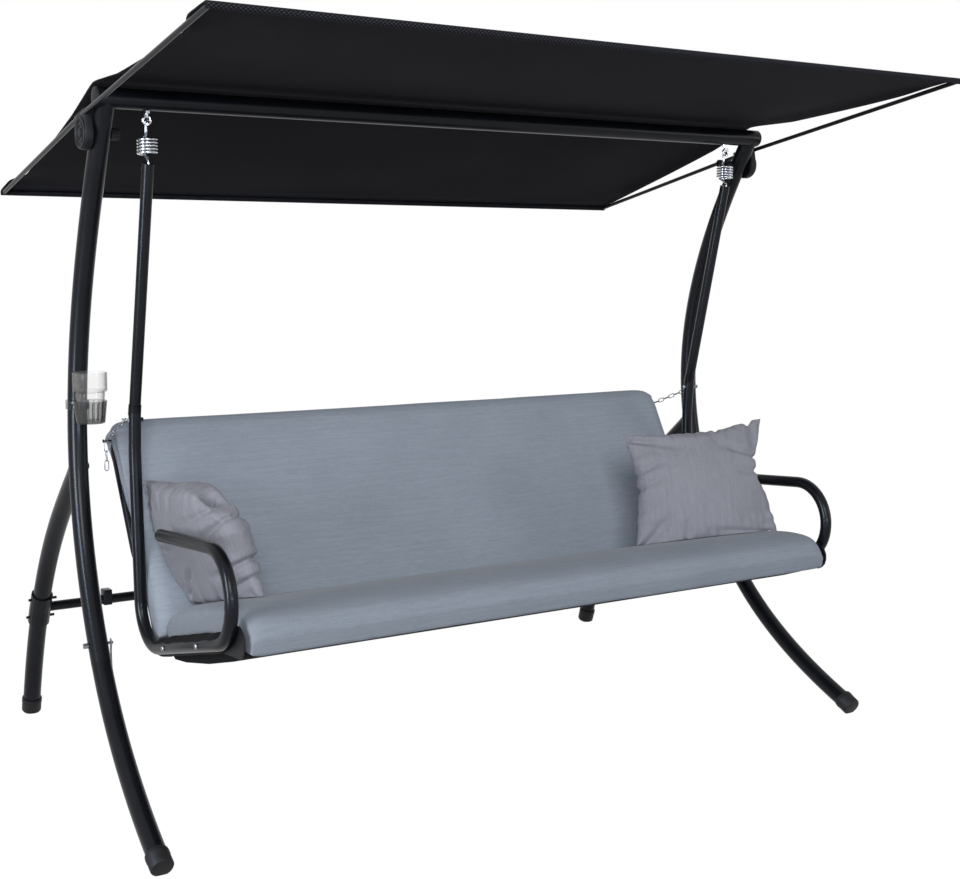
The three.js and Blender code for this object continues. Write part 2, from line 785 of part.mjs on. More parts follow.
function chainBoltPiece() {
  const outer = -hangerSpread - railDiameter / 2 - fit;
  const inner = -hangerSpread + railDiameter / 2 + fit;
  const end = outer - chainBoltReach;
  const shaft = rod(at(end, chainBolt.y, chainBolt.z), at(inner + fit, chainBolt.y, chainBolt.z),
    chainBoltDiameter, rodSides);
  const nut = rod(at(inner, chainBolt.y, chainBolt.z), at(inner + chainBoltNut, chainBolt.y, chainBolt.z),
    chainBoltHead, 6);
  const washer = rod(at(outer - fit, chainBolt.y, chainBolt.z), at(outer - 3 * fit, chainBolt.y, chainBolt.z),
    chainBoltHead, rodSides);
  const head = rod(at(end - chainBoltCap, chainBolt.y, chainBolt.z), at(end, chainBolt.y, chainBolt.z),
    chainBoltHead, rodSides);
  return join(shaft, nut, washer, head);
}

// Seat plane: depth forwards from the hinge along the lower arm rails, rise square to them

const seatForward = at(0, railToeReach - railHeelReach, railToeHeight - railHeelHeight).normalize();
const seatUp = at(0, -seatForward.z, seatForward.y).negate();
const hingeCentre = at(0, seatHingeReach, seatHingeHeight);

function seatPoint(x, depth, rise) {
  return hingeCentre.clone().addScaledVector(seatForward, depth).addScaledVector(seatUp, rise).setX(x);
}

// Back plane: climb up the backrest from the hinge, and front square to it

const backUp = at(0, Math.sin(backSlope), Math.cos(backSlope));
const backForward = at(0, -Math.cos(backSlope), Math.sin(backSlope));

function backPoint(x, climb, front) {
  return hingeCentre.clone().addScaledVector(backUp, climb).addScaledVector(backForward, front).setX(x);
}

function loopRoute(halfWidth, start, end, corner, place) {
  // A rectangle with round corners, whose two ends meet at a seam mid-way along its start side
  return bent([place(-seatSeam / 2, start, 0), place(-halfWidth, start, 0), place(-halfWidth, end, 0),
    place(halfWidth, end, 0), place(halfWidth, start, 0), place(seatSeam / 2, start, 0)],
  [corner, corner, corner, corner]);
}

const seatLoop = loopRoute(seatHalfWidth, 0, seatDepth, seatCorner, seatPoint);
const backLoop = loopRoute(backHalfWidth, backStart, backEnd, seatCorner, backPoint);
const frameTube = (route) => tube(route, seatTube, seatTube - 2 * seatTubeWall, rodSides);

function seatFrame() {
  const ring = frameTube(seatLoop);
  const bolts = [-1, 1].flatMap((side) => seatBoltPlaces.flatMap((place) => {
    const inner = seatPoint(side * seatHalfWidth, place, 0);
    const outerFace = side * (hangerSpread + railDiameter / 2 + fit);
    const headEnd = outerFace + side * seatBoltHeadHeight;
    return [rod(inner, inner.clone().setX(headEnd), seatBolt, rodSides),
      rod(inner.clone().setX(outerFace), inner.clone().setX(headEnd), seatBoltHead, 6)];
  }));
  return join(ring, ...bolts);
}

function panel(halfWidth, start, end, corner, thickness, place) {
  // A flat sheet inside a loop of tube, with its corners rounded alike
  const shape = new THREE.Shape();
  shape.moveTo(-halfWidth + corner, start);
  shape.lineTo(halfWidth - corner, start);
  shape.absarc(halfWidth - corner, start + corner, corner, -Math.PI / 2, 0);
  shape.absarc(halfWidth - corner, end - corner, corner, 0, Math.PI / 2);
  shape.absarc(-halfWidth + corner, end - corner, corner, Math.PI / 2, Math.PI);
  shape.absarc(-halfWidth + corner, start + corner, corner, Math.PI, Math.PI * 1.5);
  const geometry = new THREE.ExtrudeGeometry(shape, { depth: thickness, bevelEnabled: false, curveSegments: 4 });
  geometry.translate(0, 0, -thickness / 2);
  const origin = place(0, 0, 0);
  const depth = place(0, 1, 0).sub(origin);
  const rise = place(0, 0, 1).sub(origin);
  return geometry.applyMatrix4(new THREE.Matrix4().makeBasis(at(1, 0, 0), depth, rise).setPosition(origin));
}

function seatSling() {
  // A black cloth that sags below the frame, with an upright wall at each end
  const inset = seatTube / 2 + sleeveFit;
  const start = lugRing + 2 * fit;
  const end = seatDepth - inset;
  const line = (lift) => slingShares.map(([along, down]) => [start + (end - start) * along, -slingSag * down + lift]);
  const outline = (points) => {
    const shape = new THREE.Shape();
    points.map(([depth, rise]) => seatPoint(0, depth, rise)).forEach((point, i) => (
      i ? shape.lineTo(point.y, point.z) : shape.moveTo(point.y, point.z)));
    return shape;
  };
  const half = seatHalfWidth - inset;
  const sheet = slab(outline([...line(0), ...line(seatWeb).reverse()]), -half, 2 * half);
  const wall = outline([...line(0), [end, slingWallTop], [start, slingWallTop]]);
  const tray = join(sheet, slab(wall, -half, seatWeb), slab(wall, half - seatWeb, seatWeb));
  return largest(cut(tray, tube(seatLoop, seatTube + 2 * sleeveFit, 0, rodSides)));
}

function backSling() {
  const inset = seatTube / 2 + sleeveFit;
  return panel(backHalfWidth - inset, backStart + inset, slingEnd, seatCorner - inset, seatWeb, backPoint);
}

function endPlate() {
  // A rounded side cheek at the front corner of the seat frame
  const shape = new THREE.Shape();
  const nose = [];
  for (let k = 0; k <= 8; k += 1) {
    const angle = Math.PI / 2 - Math.PI * k / 8;
    nose.push([endPlateNose + endPlateRadius * Math.cos(angle), endPlateRadius * Math.sin(angle)]);
  }
  const outline = [[endPlateBack, -endPlateRadius * 0.5], [endPlateBack, endPlateRadius * 0.55], ...nose];
  outline.forEach(([depth, rise], i) => {
    const point = seatPoint(0, depth, rise);
    if (i) shape.lineTo(point.y, point.z);
    else shape.moveTo(point.y, point.z);
  });
  const outer = -seatHalfWidth - seatTube / 2 - fit - endPlateThickness;
  return slab(shape, outer, endPlateThickness);
}

function lugBar(side, over) {
  // The flat bar from a hinge eye to the back frame's lowest tube, made larger by a margin where it cuts
  const start = lugRing - lugLap;
  const end = backStart - seatTube / 2 + lugLap;
  const bar = new THREE.BoxGeometry(lugWidth + 2 * over, end - start, lugThickness + 2 * over);
  const middle = backPoint(side * lugPlace, (start + end) / 2, 0);
  return bar.applyMatrix4(new THREE.Matrix4().makeBasis(alongX, backUp, backForward).setPosition(middle));
}

function backFrame() {
  const ring = frameTube(backLoop);
  const lugs = [-1, 1].map((side) => {
    const x = side * lugPlace;
    const eye = turned([[seatTube / 2 + 2 * fit, 0], [lugRing, 0], [lugRing, lugWidth],
      [seatTube / 2 + 2 * fit, lugWidth], [seatTube / 2 + 2 * fit, 0]],
    at(x - lugWidth / 2, hingeCentre.y, hingeCentre.z), alongX, mainSides);
    return join(eye, lugBar(side, 0));
  });
  const pegs = [-1, 1].flatMap((side) => {
    const start = backPoint(side * backHalfWidth, chainPegPlace, chainPegFront);
    const head = start.clone().setX(side * (chainHookPlane + chainPegReach));
    return [rod(start, head, chainPegDiameter, rodSides),
      rod(head.clone().setX(side * (chainHookPlane + chainPegReach - chainBoltCap)), head, chainPegHead, rodSides)];
  });
  return join(ring, ...lugs, ...pegs);
}

// Chains: each link is a stadium of wire, turned a quarter against its neighbours

const chainHookPlane = backHalfWidth + chainHookOut;
const chainEnd = backPoint(-chainHookPlane, chainPegPlace, chainPegFront);
const chainStart = at(-chainPlane, chainBolt.y, chainBolt.z);
const chainRun = chainEnd.clone().sub(chainStart).normalize();
const boltHold = chainBoltDiameter / 2 + 2 * fit;
const pegHold = chainPegDiameter / 2 + 2 * fit;
const linkTakeUp = 2 * chainWire - linkOverlap;
const linkLength = (chainEnd.distanceTo(chainStart) + boltHold + pegHold + 2 * chainWire
  + (tautLinks - 1) * linkTakeUp) / tautLinks;
const linkPitch = linkLength - linkTakeUp;

function link(centre, run, quarter) {
  const half = (linkLength - linkWidth) / 2;
  const radius = (linkWidth - chainWire) / 2;
  const flat = alongX.clone().cross(run).normalize();
  const side = quarter ? run.clone().cross(flat).normalize() : flat;
  const points = [];
  for (let k = 0; k < linkSteps; k += 1) {
    const angle = 2 * Math.PI * (k + 0.5) / linkSteps;
    const along = radius * Math.cos(angle) + half * Math.sign(Math.cos(angle));
    points.push(centre.clone().addScaledVector(run, along).addScaledVector(side, radius * Math.sin(angle)));
  }
  points.push(points[0].clone());
  const route = new Route(points);
  route.getTangentAt = (u, target = new THREE.Vector3()) => {
    const i = Math.round(u * linkSteps) % linkSteps;
    const before = points[(i + linkSteps - 1) % linkSteps];
    return target.copy(points[(i + 1) % linkSteps]).sub(before).normalize();
  };
  return closedWire(route, run.clone().cross(side).normalize());
}

function closedWire(route, normal) {
  // A square wire round a flat closed route, built ring by ring
  const count = route.steps;
  const positions = [];
  for (let i = 0; i < count; i += 1) {
    const tangent = route.getTangentAt(i / count);
    const aside = tangent.clone().cross(normal).normalize();
    for (let k = 0; k < 4; k += 1) {
      const angle = k * Math.PI / 2;
      const point = route.points[i].clone()
        .addScaledVector(aside, chainWire / 2 * Math.cos(angle))
        .addScaledVector(normal, chainWire / 2 * Math.sin(angle));
      positions.push(point.x, point.y, point.z);
    }
  }
  const index = [];
  for (let i = 0; i < count; i += 1) {
    for (let k = 0; k < 4; k += 1) {
      const a = i * 4 + k;
      const b = i * 4 + (k + 1) % 4;
      const c = ((i + 1) % count) * 4 + k;
      const d = ((i + 1) % count) * 4 + (k + 1) % 4;
      index.push(a, b, d, a, d, c);
    }
  }
  const geometry = new THREE.BufferGeometry();
  geometry.setAttribute('position', new THREE.Float32BufferAttribute(positions, 3));
  geometry.setIndex(index);
  return geometry;
}

function chain(start, run, count, firstQuarter) {
  const first = start.clone().addScaledVector(run, linkLength / 2 - chainWire);
  return join(...Array.from({ length: count }, (_, i) => (
    link(first.clone().addScaledVector(run, i * linkPitch), run, (i + firstQuarter) % 2 === 1))));
}

// The first link lies round its bolt and the last round its peg, and the tail hangs in the last one beside the peg

const tautStart = chainStart.clone().addScaledVector(chainRun, -boltHold);
const downwards = at(0, 0, -1);
const linkSide = chainRun.clone().cross(alongX).normalize();
const belowLink = linkSide.z < 0 ? linkSide : linkSide.negate();
const tailDrop = (linkWidth - chainWire) / 2 - chainWire - 2 * fit;
const tailBack = chainPegDiameter / 2 + chainWire + 2 * fit;
const tailWire = chainEnd.clone().addScaledVector(chainRun, -tailBack).addScaledVector(belowLink, tailDrop);
const tailStart = tailWire.clone().addScaledVector(downwards, chainWire / 2);

// Padding: rings of a top and a bottom line, shrunk towards their middle line near each end

function paddedLoft(tops, bottoms, halfWidthAt, place) {
  const stations = [];
  const ends = [0, 0.3, 0.62, 0.88, 1];
  const inner = 8;
  ends.forEach((share, i) => stations.push([-1, share, i ? Math.sqrt(1 - (1 - share) ** 2) : 0.25]));
  for (let k = 1; k < inner; k += 1) stations.push([k / inner * 2 - 1, 1, 1]);
  ends.slice().reverse().forEach((share, i) => (
    stations.push([1, share, i < ends.length - 1 ? Math.sqrt(1 - (1 - share) ** 2) : 0.25])));
  const ring = tops.length * 2;
  const positions = [];
  stations.forEach(([side, share, swell]) => {
    const lines = tops.map((top, i) => {
      const bottom = bottoms[i];
      const middle = [(top[0] + bottom[0]) / 2, (top[1] + bottom[1]) / 2];
      return [top, bottom].map((point) => [
        middle[0] + (point[0] - middle[0]) * swell, middle[1] + (point[1] - middle[1]) * swell]);
    });
    const loopPoints = [...lines.map((line) => line[0]), ...lines.map((line) => line[1]).reverse()];
    loopPoints.forEach(([depth, rise]) => {
      const half = halfWidthAt(depth);
      const isEnd = Math.abs(side) === 1;
      const x = isEnd ? side * (half - padEnd * (1 - share)) : side * (half - padEnd);
      const flipped = isEnd ? side * (half - padEnd * share) : x;
      const point = place(isEnd ? flipped : x, depth, rise);
      positions.push(point.x, point.y, point.z);
    });
  });
  const index = [];
  for (let s = 0; s < stations.length - 1; s += 1) {
    for (let k = 0; k < ring; k += 1) {
      const a = s * ring + k;
      const b = s * ring + (k + 1) % ring;
      index.push(a, b, b + ring, a, b + ring, a + ring);
    }
  }
  const flatEnd = (base, turnedRound) => {
    for (let k = 0; k < tops.length - 1; k += 1) {
      const a = base + k;
      const b = base + k + 1;
      const c = base + ring - 1 - k;
      const d = base + ring - 2 - k;
      if (turnedRound) index.push(a, d, b, a, c, d);
      else index.push(a, b, d, a, d, c);
    }
  };
  flatEnd(0, true);
  flatEnd((stations.length - 1) * ring, false);
  const geometry = new THREE.BufferGeometry();
  geometry.setAttribute('position', new THREE.Float32BufferAttribute(positions, 3));
  geometry.setIndex(index);
  return geometry;
}

function seatPad() {
  const run = seatPadFront - seatPadRear;
  const rise = seatPadCrown - seatPadBottom;
  const depthAt = (share) => seatPadRear + run * share;
  const riseAt = (share) => seatPadBottom + rise * share;
  const topShares = [[0, 0.42], [0.04, 0.76], [0.13, 0.94], [0.29, 1], [0.5, 1], [0.69, 0.93],
    [0.83, 0.79], [0.925, 0.58], [0.985, 0.27], [1, -0.2]];
  const bottomShares = [[0, 0.16], [0.02, 0], [0.13, 0], [0.29, 0], [0.5, 0], [0.69, 0], [0.83, 0]];
  const frontFace = seatDepth + seatTube / 2 + 2 * fit;
  const lip = [[frontFace, seatPadBottom], [frontFace, seatPadLip * 0.8],
    [frontFace + (seatPadFront - frontFace) * 0.45, seatPadLip]];
  const tops = topShares.map(([along, up]) => [depthAt(along), riseAt(up)]);
  const bottoms = bottomShares.map(([along, up]) => [depthAt(along), riseAt(up)]).concat(lip);
  return paddedLoft(tops, bottoms, () => seatPadHalfWidth, seatPoint);
}

function backPad() {
  // The pad lies before the back frame, swells behind it at the foot, and ends in a hood over its top tube
  const halfWidthAt = (climb) => {
    const rise = backPadTop - backPadFrontLine[0][0];
    const share = THREE.MathUtils.smoothstep(climb, rise * 0.4, rise * 0.75);
    const hood = THREE.MathUtils.smoothstep(climb, hoodStart, hoodFull);
    const over = Math.max(climb - backPadTop + backPadCorner, 0);
    const drawnIn = backPadCorner - Math.sqrt(backPadCorner ** 2 - over ** 2);
    return backPadLowerHalfWidth + (backPadHalfWidth - backPadLowerHalfWidth) * share
      + (hoodHalfWidth - backPadHalfWidth) * hood - drawnIn;
  };
  const pad = paddedLoft(backPadFrontLine, backPadRearLine, halfWidthAt, backPoint);
  const pocket = tube(backLoop, seatTube + 2 * sleeveFit, 0, rodSides);
  const slots = [-1, 1].flatMap((side) => [
    lugBar(side, sleeveFit),
    rod(backPoint(side * backHalfWidth, chainPegPlace, chainPegFront),
      backPoint(side * (chainHookPlane + linkWidth), chainPegPlace, chainPegFront),
      chainPegDiameter + 2 * sleeveFit, rodSides)]);
  return largest(cut(pad, pocket, ...slots));
}

function pillow(centre, lean, tip, turn) {
  // Two crowned faces that meet in a seam, with the sides drawn in between the corners
  const cells = 12;
  const spread = Array.from({ length: cells + 1 }, (_, i) => Math.sin((i / cells - 0.5) * Math.PI));
  const u = new THREE.Vector3();
  const v = new THREE.Vector3();
  const n = new THREE.Vector3();
  new THREE.Matrix4().makeRotationFromEuler(new THREE.Euler(lean, tip, turn, 'ZYX')).extractBasis(u, v, n);
  const positions = [];
  const vertex = (i, k, face) => {
    const a = spread[i];
    const b = spread[k];
    const x = a * pillowWidth / 2 * (1 - pillowPull * (1 - b * b));
    const y = b * pillowHeight / 2 * (1 - pillowPull * (1 - a * a));
    const crown = pillowThickness / 2 * ((1 - a * a) * (1 - b * b)) ** 0.42;
    return centre.clone().addScaledVector(u, x).addScaledVector(v, y).addScaledVector(n, face * crown);
  };
  for (const face of [1, -1]) {
    for (let i = 0; i < cells; i += 1) {
      for (let k = 0; k < cells; k += 1) {
        const corners = [vertex(i, k, face), vertex(i + 1, k, face), vertex(i + 1, k + 1, face), vertex(i, k + 1, face)];
        const order = face > 0 ? [0, 1, 2, 0, 2, 3] : [0, 2, 1, 0, 3, 2];
        order.forEach((c) => positions.push(corners[c].x, corners[c].y, corners[c].z));
      }
    }
  }
  const geometry = new THREE.BufferGeometry();
  geometry.setAttribute('position', new THREE.Float32BufferAttribute(positions, 3));
  return geometry;
}

// Canopy, in its own plane: run to the rear and rise square to the rods, from the tilt pivot

const canopyRearward = at(0, Math.cos(tiltAtRest), -Math.sin(tiltAtRest));
const canopyUp = at(0, Math.sin(tiltAtRest), Math.cos(tiltAtRest));

function canopyPoint(x, run, rise) {
  return at(0, tiltPivot.y, tiltPivot.z).addScaledVector(canopyRearward, run).addScaledVector(canopyUp, rise).setX(x);
}

const crossRods = { front: canopyPoint(0, -canopyFront, rodEndHeight), rear: canopyPoint(0, canopyRear, rodEndHeight) };

function crossRod(centre) {
  const end = clothHalfWidth - clothThickness;
  return rod(centre.clone().setX(-end), centre.clone().setX(end), rodDiameter, rodSides);
}

function sideRodEnds(side) {
  // From its socket in the hub to the rod across the canopy's end
  const reach = side < 0 ? canopyFront : canopyRear;
  const inner = hubWidth / 2 - hubSocketDepth;
  return [canopyPoint(-rodSpread, side * inner, rodHeight),
    canopyPoint(-rodSpread, side * (reach - rodDiameter / 2 - fit * 2), rodEndHeight)];
}

function sideRod(side) {
  const [start, end] = sideRodEnds(side);
  return rod(start, end, rodDiameter, rodSides);
}

function tiltHub() {
  const half = hubWidth / 2;
  const outline = (inset, top) => {
    const shape = new THREE.Shape();
    const points = [canopyPoint(0, -half + inset, top), canopyPoint(0, half - inset, top)];
    for (let k = 0; k <= 10; k += 1) {
      const angle = -Math.PI * k / 10;
      points.push(canopyPoint(0, (half - inset) * Math.cos(angle), (half - inset) * Math.sin(angle)));
    }
    points.forEach((point, i) => (i ? shape.lineTo(point.y, point.z) : shape.moveTo(point.y, point.z)));
    return shape;
  };
  const inner = tiltPivot.x - mainDiameter / 2 - hubInnerGap;
  const outer = inner - hubThickness;
  const plate = slab(outline(0, hubTop), outer, hubThickness);
  const recessTop = rodHeight - rodDiameter / 2 - hubRim;
  const recess = slab(outline(hubRim, recessTop), outer - cutOverrun, hubRecess + cutOverrun);
  const sockets = [-1, 1].map((side) => {
    const [start, end] = sideRodEnds(side);
    const run = end.clone().sub(start).normalize();
    return rod(start.addScaledVector(run, -cutOverrun / 2), end, rodDiameter + 2 * fit, rodSides);
  });
  const bolt = rod(at(outer + hubRecess - hubRim, tiltPivot.y, tiltPivot.z),
    at(outer + hubBoltLength, tiltPivot.y, tiltPivot.z), hubBolt, rodSides);
  return join(cut(plate, recess, ...sockets), bolt);
}

function tiltLever() {
  const start = tiltPivot.x + mainDiameter / 2 + hubInnerGap;
  const boss = turned([[hubBolt / 2 + fit * 2, 0], [leverBoss, 0], [leverBoss, leverBossLength],
    [hubBolt / 2 + fit * 2, leverBossLength], [hubBolt / 2 + fit * 2, 0]],
  at(start, tiltPivot.y, tiltPivot.z), alongX, rodSides);
  const eye = canopyPoint(0, leverReach, leverEnd);
  const shape = new THREE.Shape(polygon(leverBoss, rodSides, tiltPivot.y, tiltPivot.z));
  const core = slab(shape, start + leverBossLength - leverThickness, leverThickness);
  const endShape = new THREE.Shape(polygon(leverEnd, rodSides, eye.y, eye.z));
  const end = slab(endShape, start + leverBossLength - leverThickness, leverThickness);
  const neckShape = new THREE.Shape();
  [canopyPoint(0, 0, -leverBoss * 0.8), canopyPoint(0, leverReach, 0),
    canopyPoint(0, leverReach, leverEnd * 1.9), canopyPoint(0, 0, leverBoss)].forEach((point, i) => (
    i ? neckShape.lineTo(point.y, point.z) : neckShape.moveTo(point.y, point.z)));
  const neck = slab(neckShape, start + leverBossLength - leverThickness, leverThickness);
  const hole = slab(new THREE.Shape(polygon(leverHole, rodSides, eye.y, eye.z)), start, 2 * leverBossLength);
  const bore = slab(new THREE.Shape(polygon(hubBolt / 2 + fit * 2, rodSides, tiltPivot.y, tiltPivot.z)),
    start - cutOverrun, 2 * leverBossLength);
  return cut(join(core, end, neck, boss), hole, bore);
}

function canopyCloth() {
  // The cloth runs from hem to hem, over the place that the beam takes when the canopy is level
  const hem = rodDiameter / 2 + 2 * fit;
  const ridge = [-tiltPivot.y, beamHeight - tiltPivot.z];
  const under = mainDiameter / 2 + clothBeamGap;
  const front = [-canopyFront, rodEndHeight + hem];
  const rear = [canopyRear, rodEndHeight + hem];
  const slope = (end) => Math.atan2(ridge[1] + under - end[1], Math.abs(end[0] - ridge[0]));
  const arc = [];
  const from = Math.PI / 2 + slope(front);
  const to = Math.PI / 2 - slope(rear);
  for (let k = 0; k <= 4; k += 1) arc.push(from + (to - from) * k / 4);
  const line = (radius, lift) => [[front[0], front[1] + lift],
    ...arc.map((angle) => [ridge[0] + radius * Math.cos(angle), ridge[1] + radius * Math.sin(angle)]),
    [rear[0], rear[1] + lift]];
  const shape = new THREE.Shape();
  [...line(under, 0), ...line(under + clothThickness, clothThickness).reverse()].forEach(([run, rise], i) => {
    const point = canopyPoint(0, run, rise);
    if (i) shape.lineTo(point.y, point.z);
    else shape.moveTo(point.y, point.z);
  });
  const sheet = slab(shape, -clothHalfWidth, 2 * clothHalfWidth);
  const along = (centre, diameter, end) => rod(
    centre.clone().setX(-end), centre.clone().setX(end), diameter, mainSides);
  const rods = Object.values(crossRods);
  const hemEnd = rodSpread - rodDiameter / 2 - sleeveFit;
  const hems = rods.map((centre) => along(centre, 2 * (hem + clothThickness), hemEnd));
  const bores = rods.map((centre) => along(centre, 2 * hem, clothHalfWidth + cutOverrun));
  return cut(join(sheet, ...hems), ...bores);
}

// Cup holder

const holderLeg = pointAtHeight(legRoute, holderHeight + holderRingPlace + holderRingHeight / 2);
const holderRingInner = mainDiameter / 2 + sleeveFit;
const holderAway = holderRingInner + holderRing + holderTopRadius + holderStandOff;
const holderCentre = holderLeg.clone()
  .add(at(holderAside, -Math.sqrt(holderAway ** 2 - holderAside ** 2), 0)).setZ(holderHeight);

function cupHolder() {
  const up = at(0, 0, 1);
  const cup = turned([[0, 0], [holderBottomRadius, 0], [holderTopRadius, holderRise],
    [holderTopRadius - holderWall, holderRise], [holderBottomRadius - holderWall, holderWall], [0, holderWall]],
  holderCentre, up, holderSides);
  const ringOrigin = holderLeg.clone().setZ(holderHeight + holderRingPlace);
  const ring = turned([[holderRingInner, 0], [holderRingInner + holderRing, 0],
    [holderRingInner + holderRing, holderRingHeight], [holderRingInner, holderRingHeight], [holderRingInner, 0]],
  ringOrigin, up, holderSides);
  const gap = box(mainDiameter * 0.6, mainDiameter, 2 * holderRingHeight, ringOrigin.x,
    ringOrigin.y + mainDiameter * 0.75, ringOrigin.z + holderRingHeight / 2);
  const middle = ringOrigin.clone().lerp(holderCentre.clone().setZ(ringOrigin.z), holderBridgePlace);
  const bridge = box(holderBridgeWidth, holderBridgeDepth, holderRingHeight * 0.8,
    middle.x, middle.y, middle.z + holderRingHeight / 2);
  return join(cup, cut(ring, gap), bridge);
}

function tumbler() {
  const step = tumblerHeight * 0.6;
  const stepRadius = tumblerBottomRadius + (tumblerTopRadius - tumblerBottomRadius) * 0.45;
  return turned([[0, 0], [tumblerBottomRadius, 0], [stepRadius, step], [tumblerTopRadius, step + tumblerWall],
    [tumblerTopRadius, tumblerHeight], [tumblerTopRadius - tumblerWall, tumblerHeight],
    [tumblerTopRadius - tumblerWall, step + 2 * tumblerWall],
    [stepRadius - tumblerWall, step], [tumblerBottomRadius - tumblerWall, 2 * tumblerWall], [0, 2 * tumblerWall]],
  holderCentre.clone().add(at(0, 0, holderWall + tumblerLift)), at(0, 0, 1), holderSides);
}

// Assembly

const bench = new THREE.Group();
bench.name = 'garden_swing_bench';

bench.add(
  piece('top_beam', topBeam(), paint),
  ...pair('beam_cap', beamCap(), blackPlastic),
  ...pair('front_leg', frontLeg(), paint),
  ...pair('front_foot', frontFoot(), paint),
  ...pair('rear_leg', rearLeg(), paint),
  ...pair('front_foot_cap', footCap(footRoute), blackPlastic),
  ...pair('rear_foot_cap', footCap(rearRoute), blackPlastic),
  ...pair('foot_pin', legPin(), zinc),
  ...pair('pin_clip', legClip(), zinc),
  ...pair('crossbar_clamp', crossbarClamp(), paint),
  piece('rear_crossbar', rearCrossbar(), paint),
  ...pair('eye_bolt', eyeBolt(), chrome),
  piece('cup_holder', cupHolder(), smokyPlastic),
  piece('tumbler', tumbler(), clearPlastic),
);

bench.add(
  ...pair('hanging_spring', hangerSpring(), chrome),
  ...pair('hanger', hanger(), paint),
  ...pair('arm_rail', armRail(), paint),
  ...pair('arm_cap', armCap(), blackPlastic),
  ...pair('chain_bolt', chainBoltPiece(), chrome),
  piece('seat_frame', seatFrame(), paint),
  piece('seat_sling', seatSling(), blackWeb),
  ...pair('seat_end_plate', endPlate(), blackPlastic),
  piece('back_frame', backFrame(), paint),
  piece('back_sling', backSling(), blackWeb),
  ...pair('chain', chain(tautStart, chainRun, tautLinks, 0), zinc),
  ...pair('chain_tail', chain(tailStart, downwards, tailLinks, 1), zinc),
);

const rightPillow = pillow(seatPoint(hangerSpread - rightPillowSetIn, rightPillowRun, rightPillowRise),
  rightPillowLean, rightPillowTip, rightPillowTurn);
const leftPillow = pillow(seatPoint(leftPillowSetIn - hangerSpread, leftPillowRun, leftPillowRise),
  leftPillowLean, leftPillowTip, leftPillowTurn);
const seatCushion = seatPad();
const backCushion = backPad();

function restingPillow(whole) {
  // A pillow pressed flat where it lies on the seat cushion and against the back cushion
  const raise = seatUp.clone().multiplyScalar(pillowRest);
  const push = backForward.clone().multiplyScalar(pillowRest);
  return cut(whole,
    clean(seatCushion).translate(raise.x, raise.y, raise.z), clean(backCushion).translate(push.x, push.y, push.z));
}

bench.add(
  piece('seat_cushion', seatCushion, greyCloth),
  piece('back_cushion', backCushion, greyCloth),
  piece('pillow_left', restingPillow(leftPillow), greyCloth),
  piece('pillow_right', restingPillow(rightPillow), greyCloth),
);

bench.add(
  piece('canopy_cloth', canopyCloth(), blackCloth),
  piece('canopy_front_rod', crossRod(crossRods.front), paint),
  piece('canopy_rear_rod', crossRod(crossRods.rear), paint),
  ...pair('front_side_rod', sideRod(-1), paint),
  ...pair('rear_side_rod', sideRod(1), paint),
  ...pair('tilt_hub', tiltHub(), blackPlastic),
  ...pair('tilt_lever', tiltLever(), blackPlastic),
);

console.log('spring least gap mm', leastGap(springPoints(), springWire, 3 * springWire).toFixed(2));

// The origin lies under the middle of the outline's depth
const rearmost = Math.max(...bench.children.map((mesh) => new THREE.Box3().setFromObject(mesh).max.y));
const frontmost = Math.min(...bench.children.map((mesh) => new THREE.Box3().setFromObject(mesh).min.y));
bench.position.y = -(rearmost + frontmost) / 2;

export default bench;
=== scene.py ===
"""Looks for the garden swing bench: steel tubes, chrome springs, grey cushions and a black canopy.

Lengths are metres in the bench's frame: +Z up, +X along the top beam, -Y to the front, the floor at z = 0.
"""

import json
import logging
import math
from collections.abc import Callable, Iterable, Sequence
from dataclasses import dataclass, field
from enum import Enum

import bmesh
import bpy
from mathutils import Matrix, Vector, noise

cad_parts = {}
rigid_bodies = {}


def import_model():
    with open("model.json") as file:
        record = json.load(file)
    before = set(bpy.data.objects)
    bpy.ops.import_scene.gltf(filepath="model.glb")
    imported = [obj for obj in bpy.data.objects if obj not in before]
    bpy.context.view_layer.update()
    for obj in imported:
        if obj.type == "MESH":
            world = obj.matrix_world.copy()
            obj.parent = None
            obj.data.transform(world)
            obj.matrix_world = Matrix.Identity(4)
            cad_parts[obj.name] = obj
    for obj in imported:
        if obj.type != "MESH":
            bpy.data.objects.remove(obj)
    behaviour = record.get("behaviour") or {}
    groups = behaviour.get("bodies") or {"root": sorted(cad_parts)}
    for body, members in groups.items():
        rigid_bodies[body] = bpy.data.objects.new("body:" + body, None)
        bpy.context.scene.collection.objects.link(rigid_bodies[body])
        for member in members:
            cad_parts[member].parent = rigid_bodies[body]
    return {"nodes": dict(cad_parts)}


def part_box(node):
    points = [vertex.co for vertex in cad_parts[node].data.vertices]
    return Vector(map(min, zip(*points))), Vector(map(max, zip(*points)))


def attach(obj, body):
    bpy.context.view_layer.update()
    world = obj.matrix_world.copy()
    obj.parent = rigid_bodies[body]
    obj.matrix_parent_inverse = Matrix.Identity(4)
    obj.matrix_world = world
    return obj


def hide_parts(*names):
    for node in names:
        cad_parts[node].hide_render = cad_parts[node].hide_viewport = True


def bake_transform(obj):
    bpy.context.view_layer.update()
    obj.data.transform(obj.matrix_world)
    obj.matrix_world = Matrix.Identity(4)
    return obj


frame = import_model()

Mesh = bmesh.types.BMesh
Socket = bpy.types.NodeSocket
Material = bpy.types.Material
Owner = Material | bpy.types.World
Pair = tuple[float, float]
Triple = tuple[float, float, float]
Four = tuple[float, float, float, float]
Colour = Four
Line = Sequence[Pair]

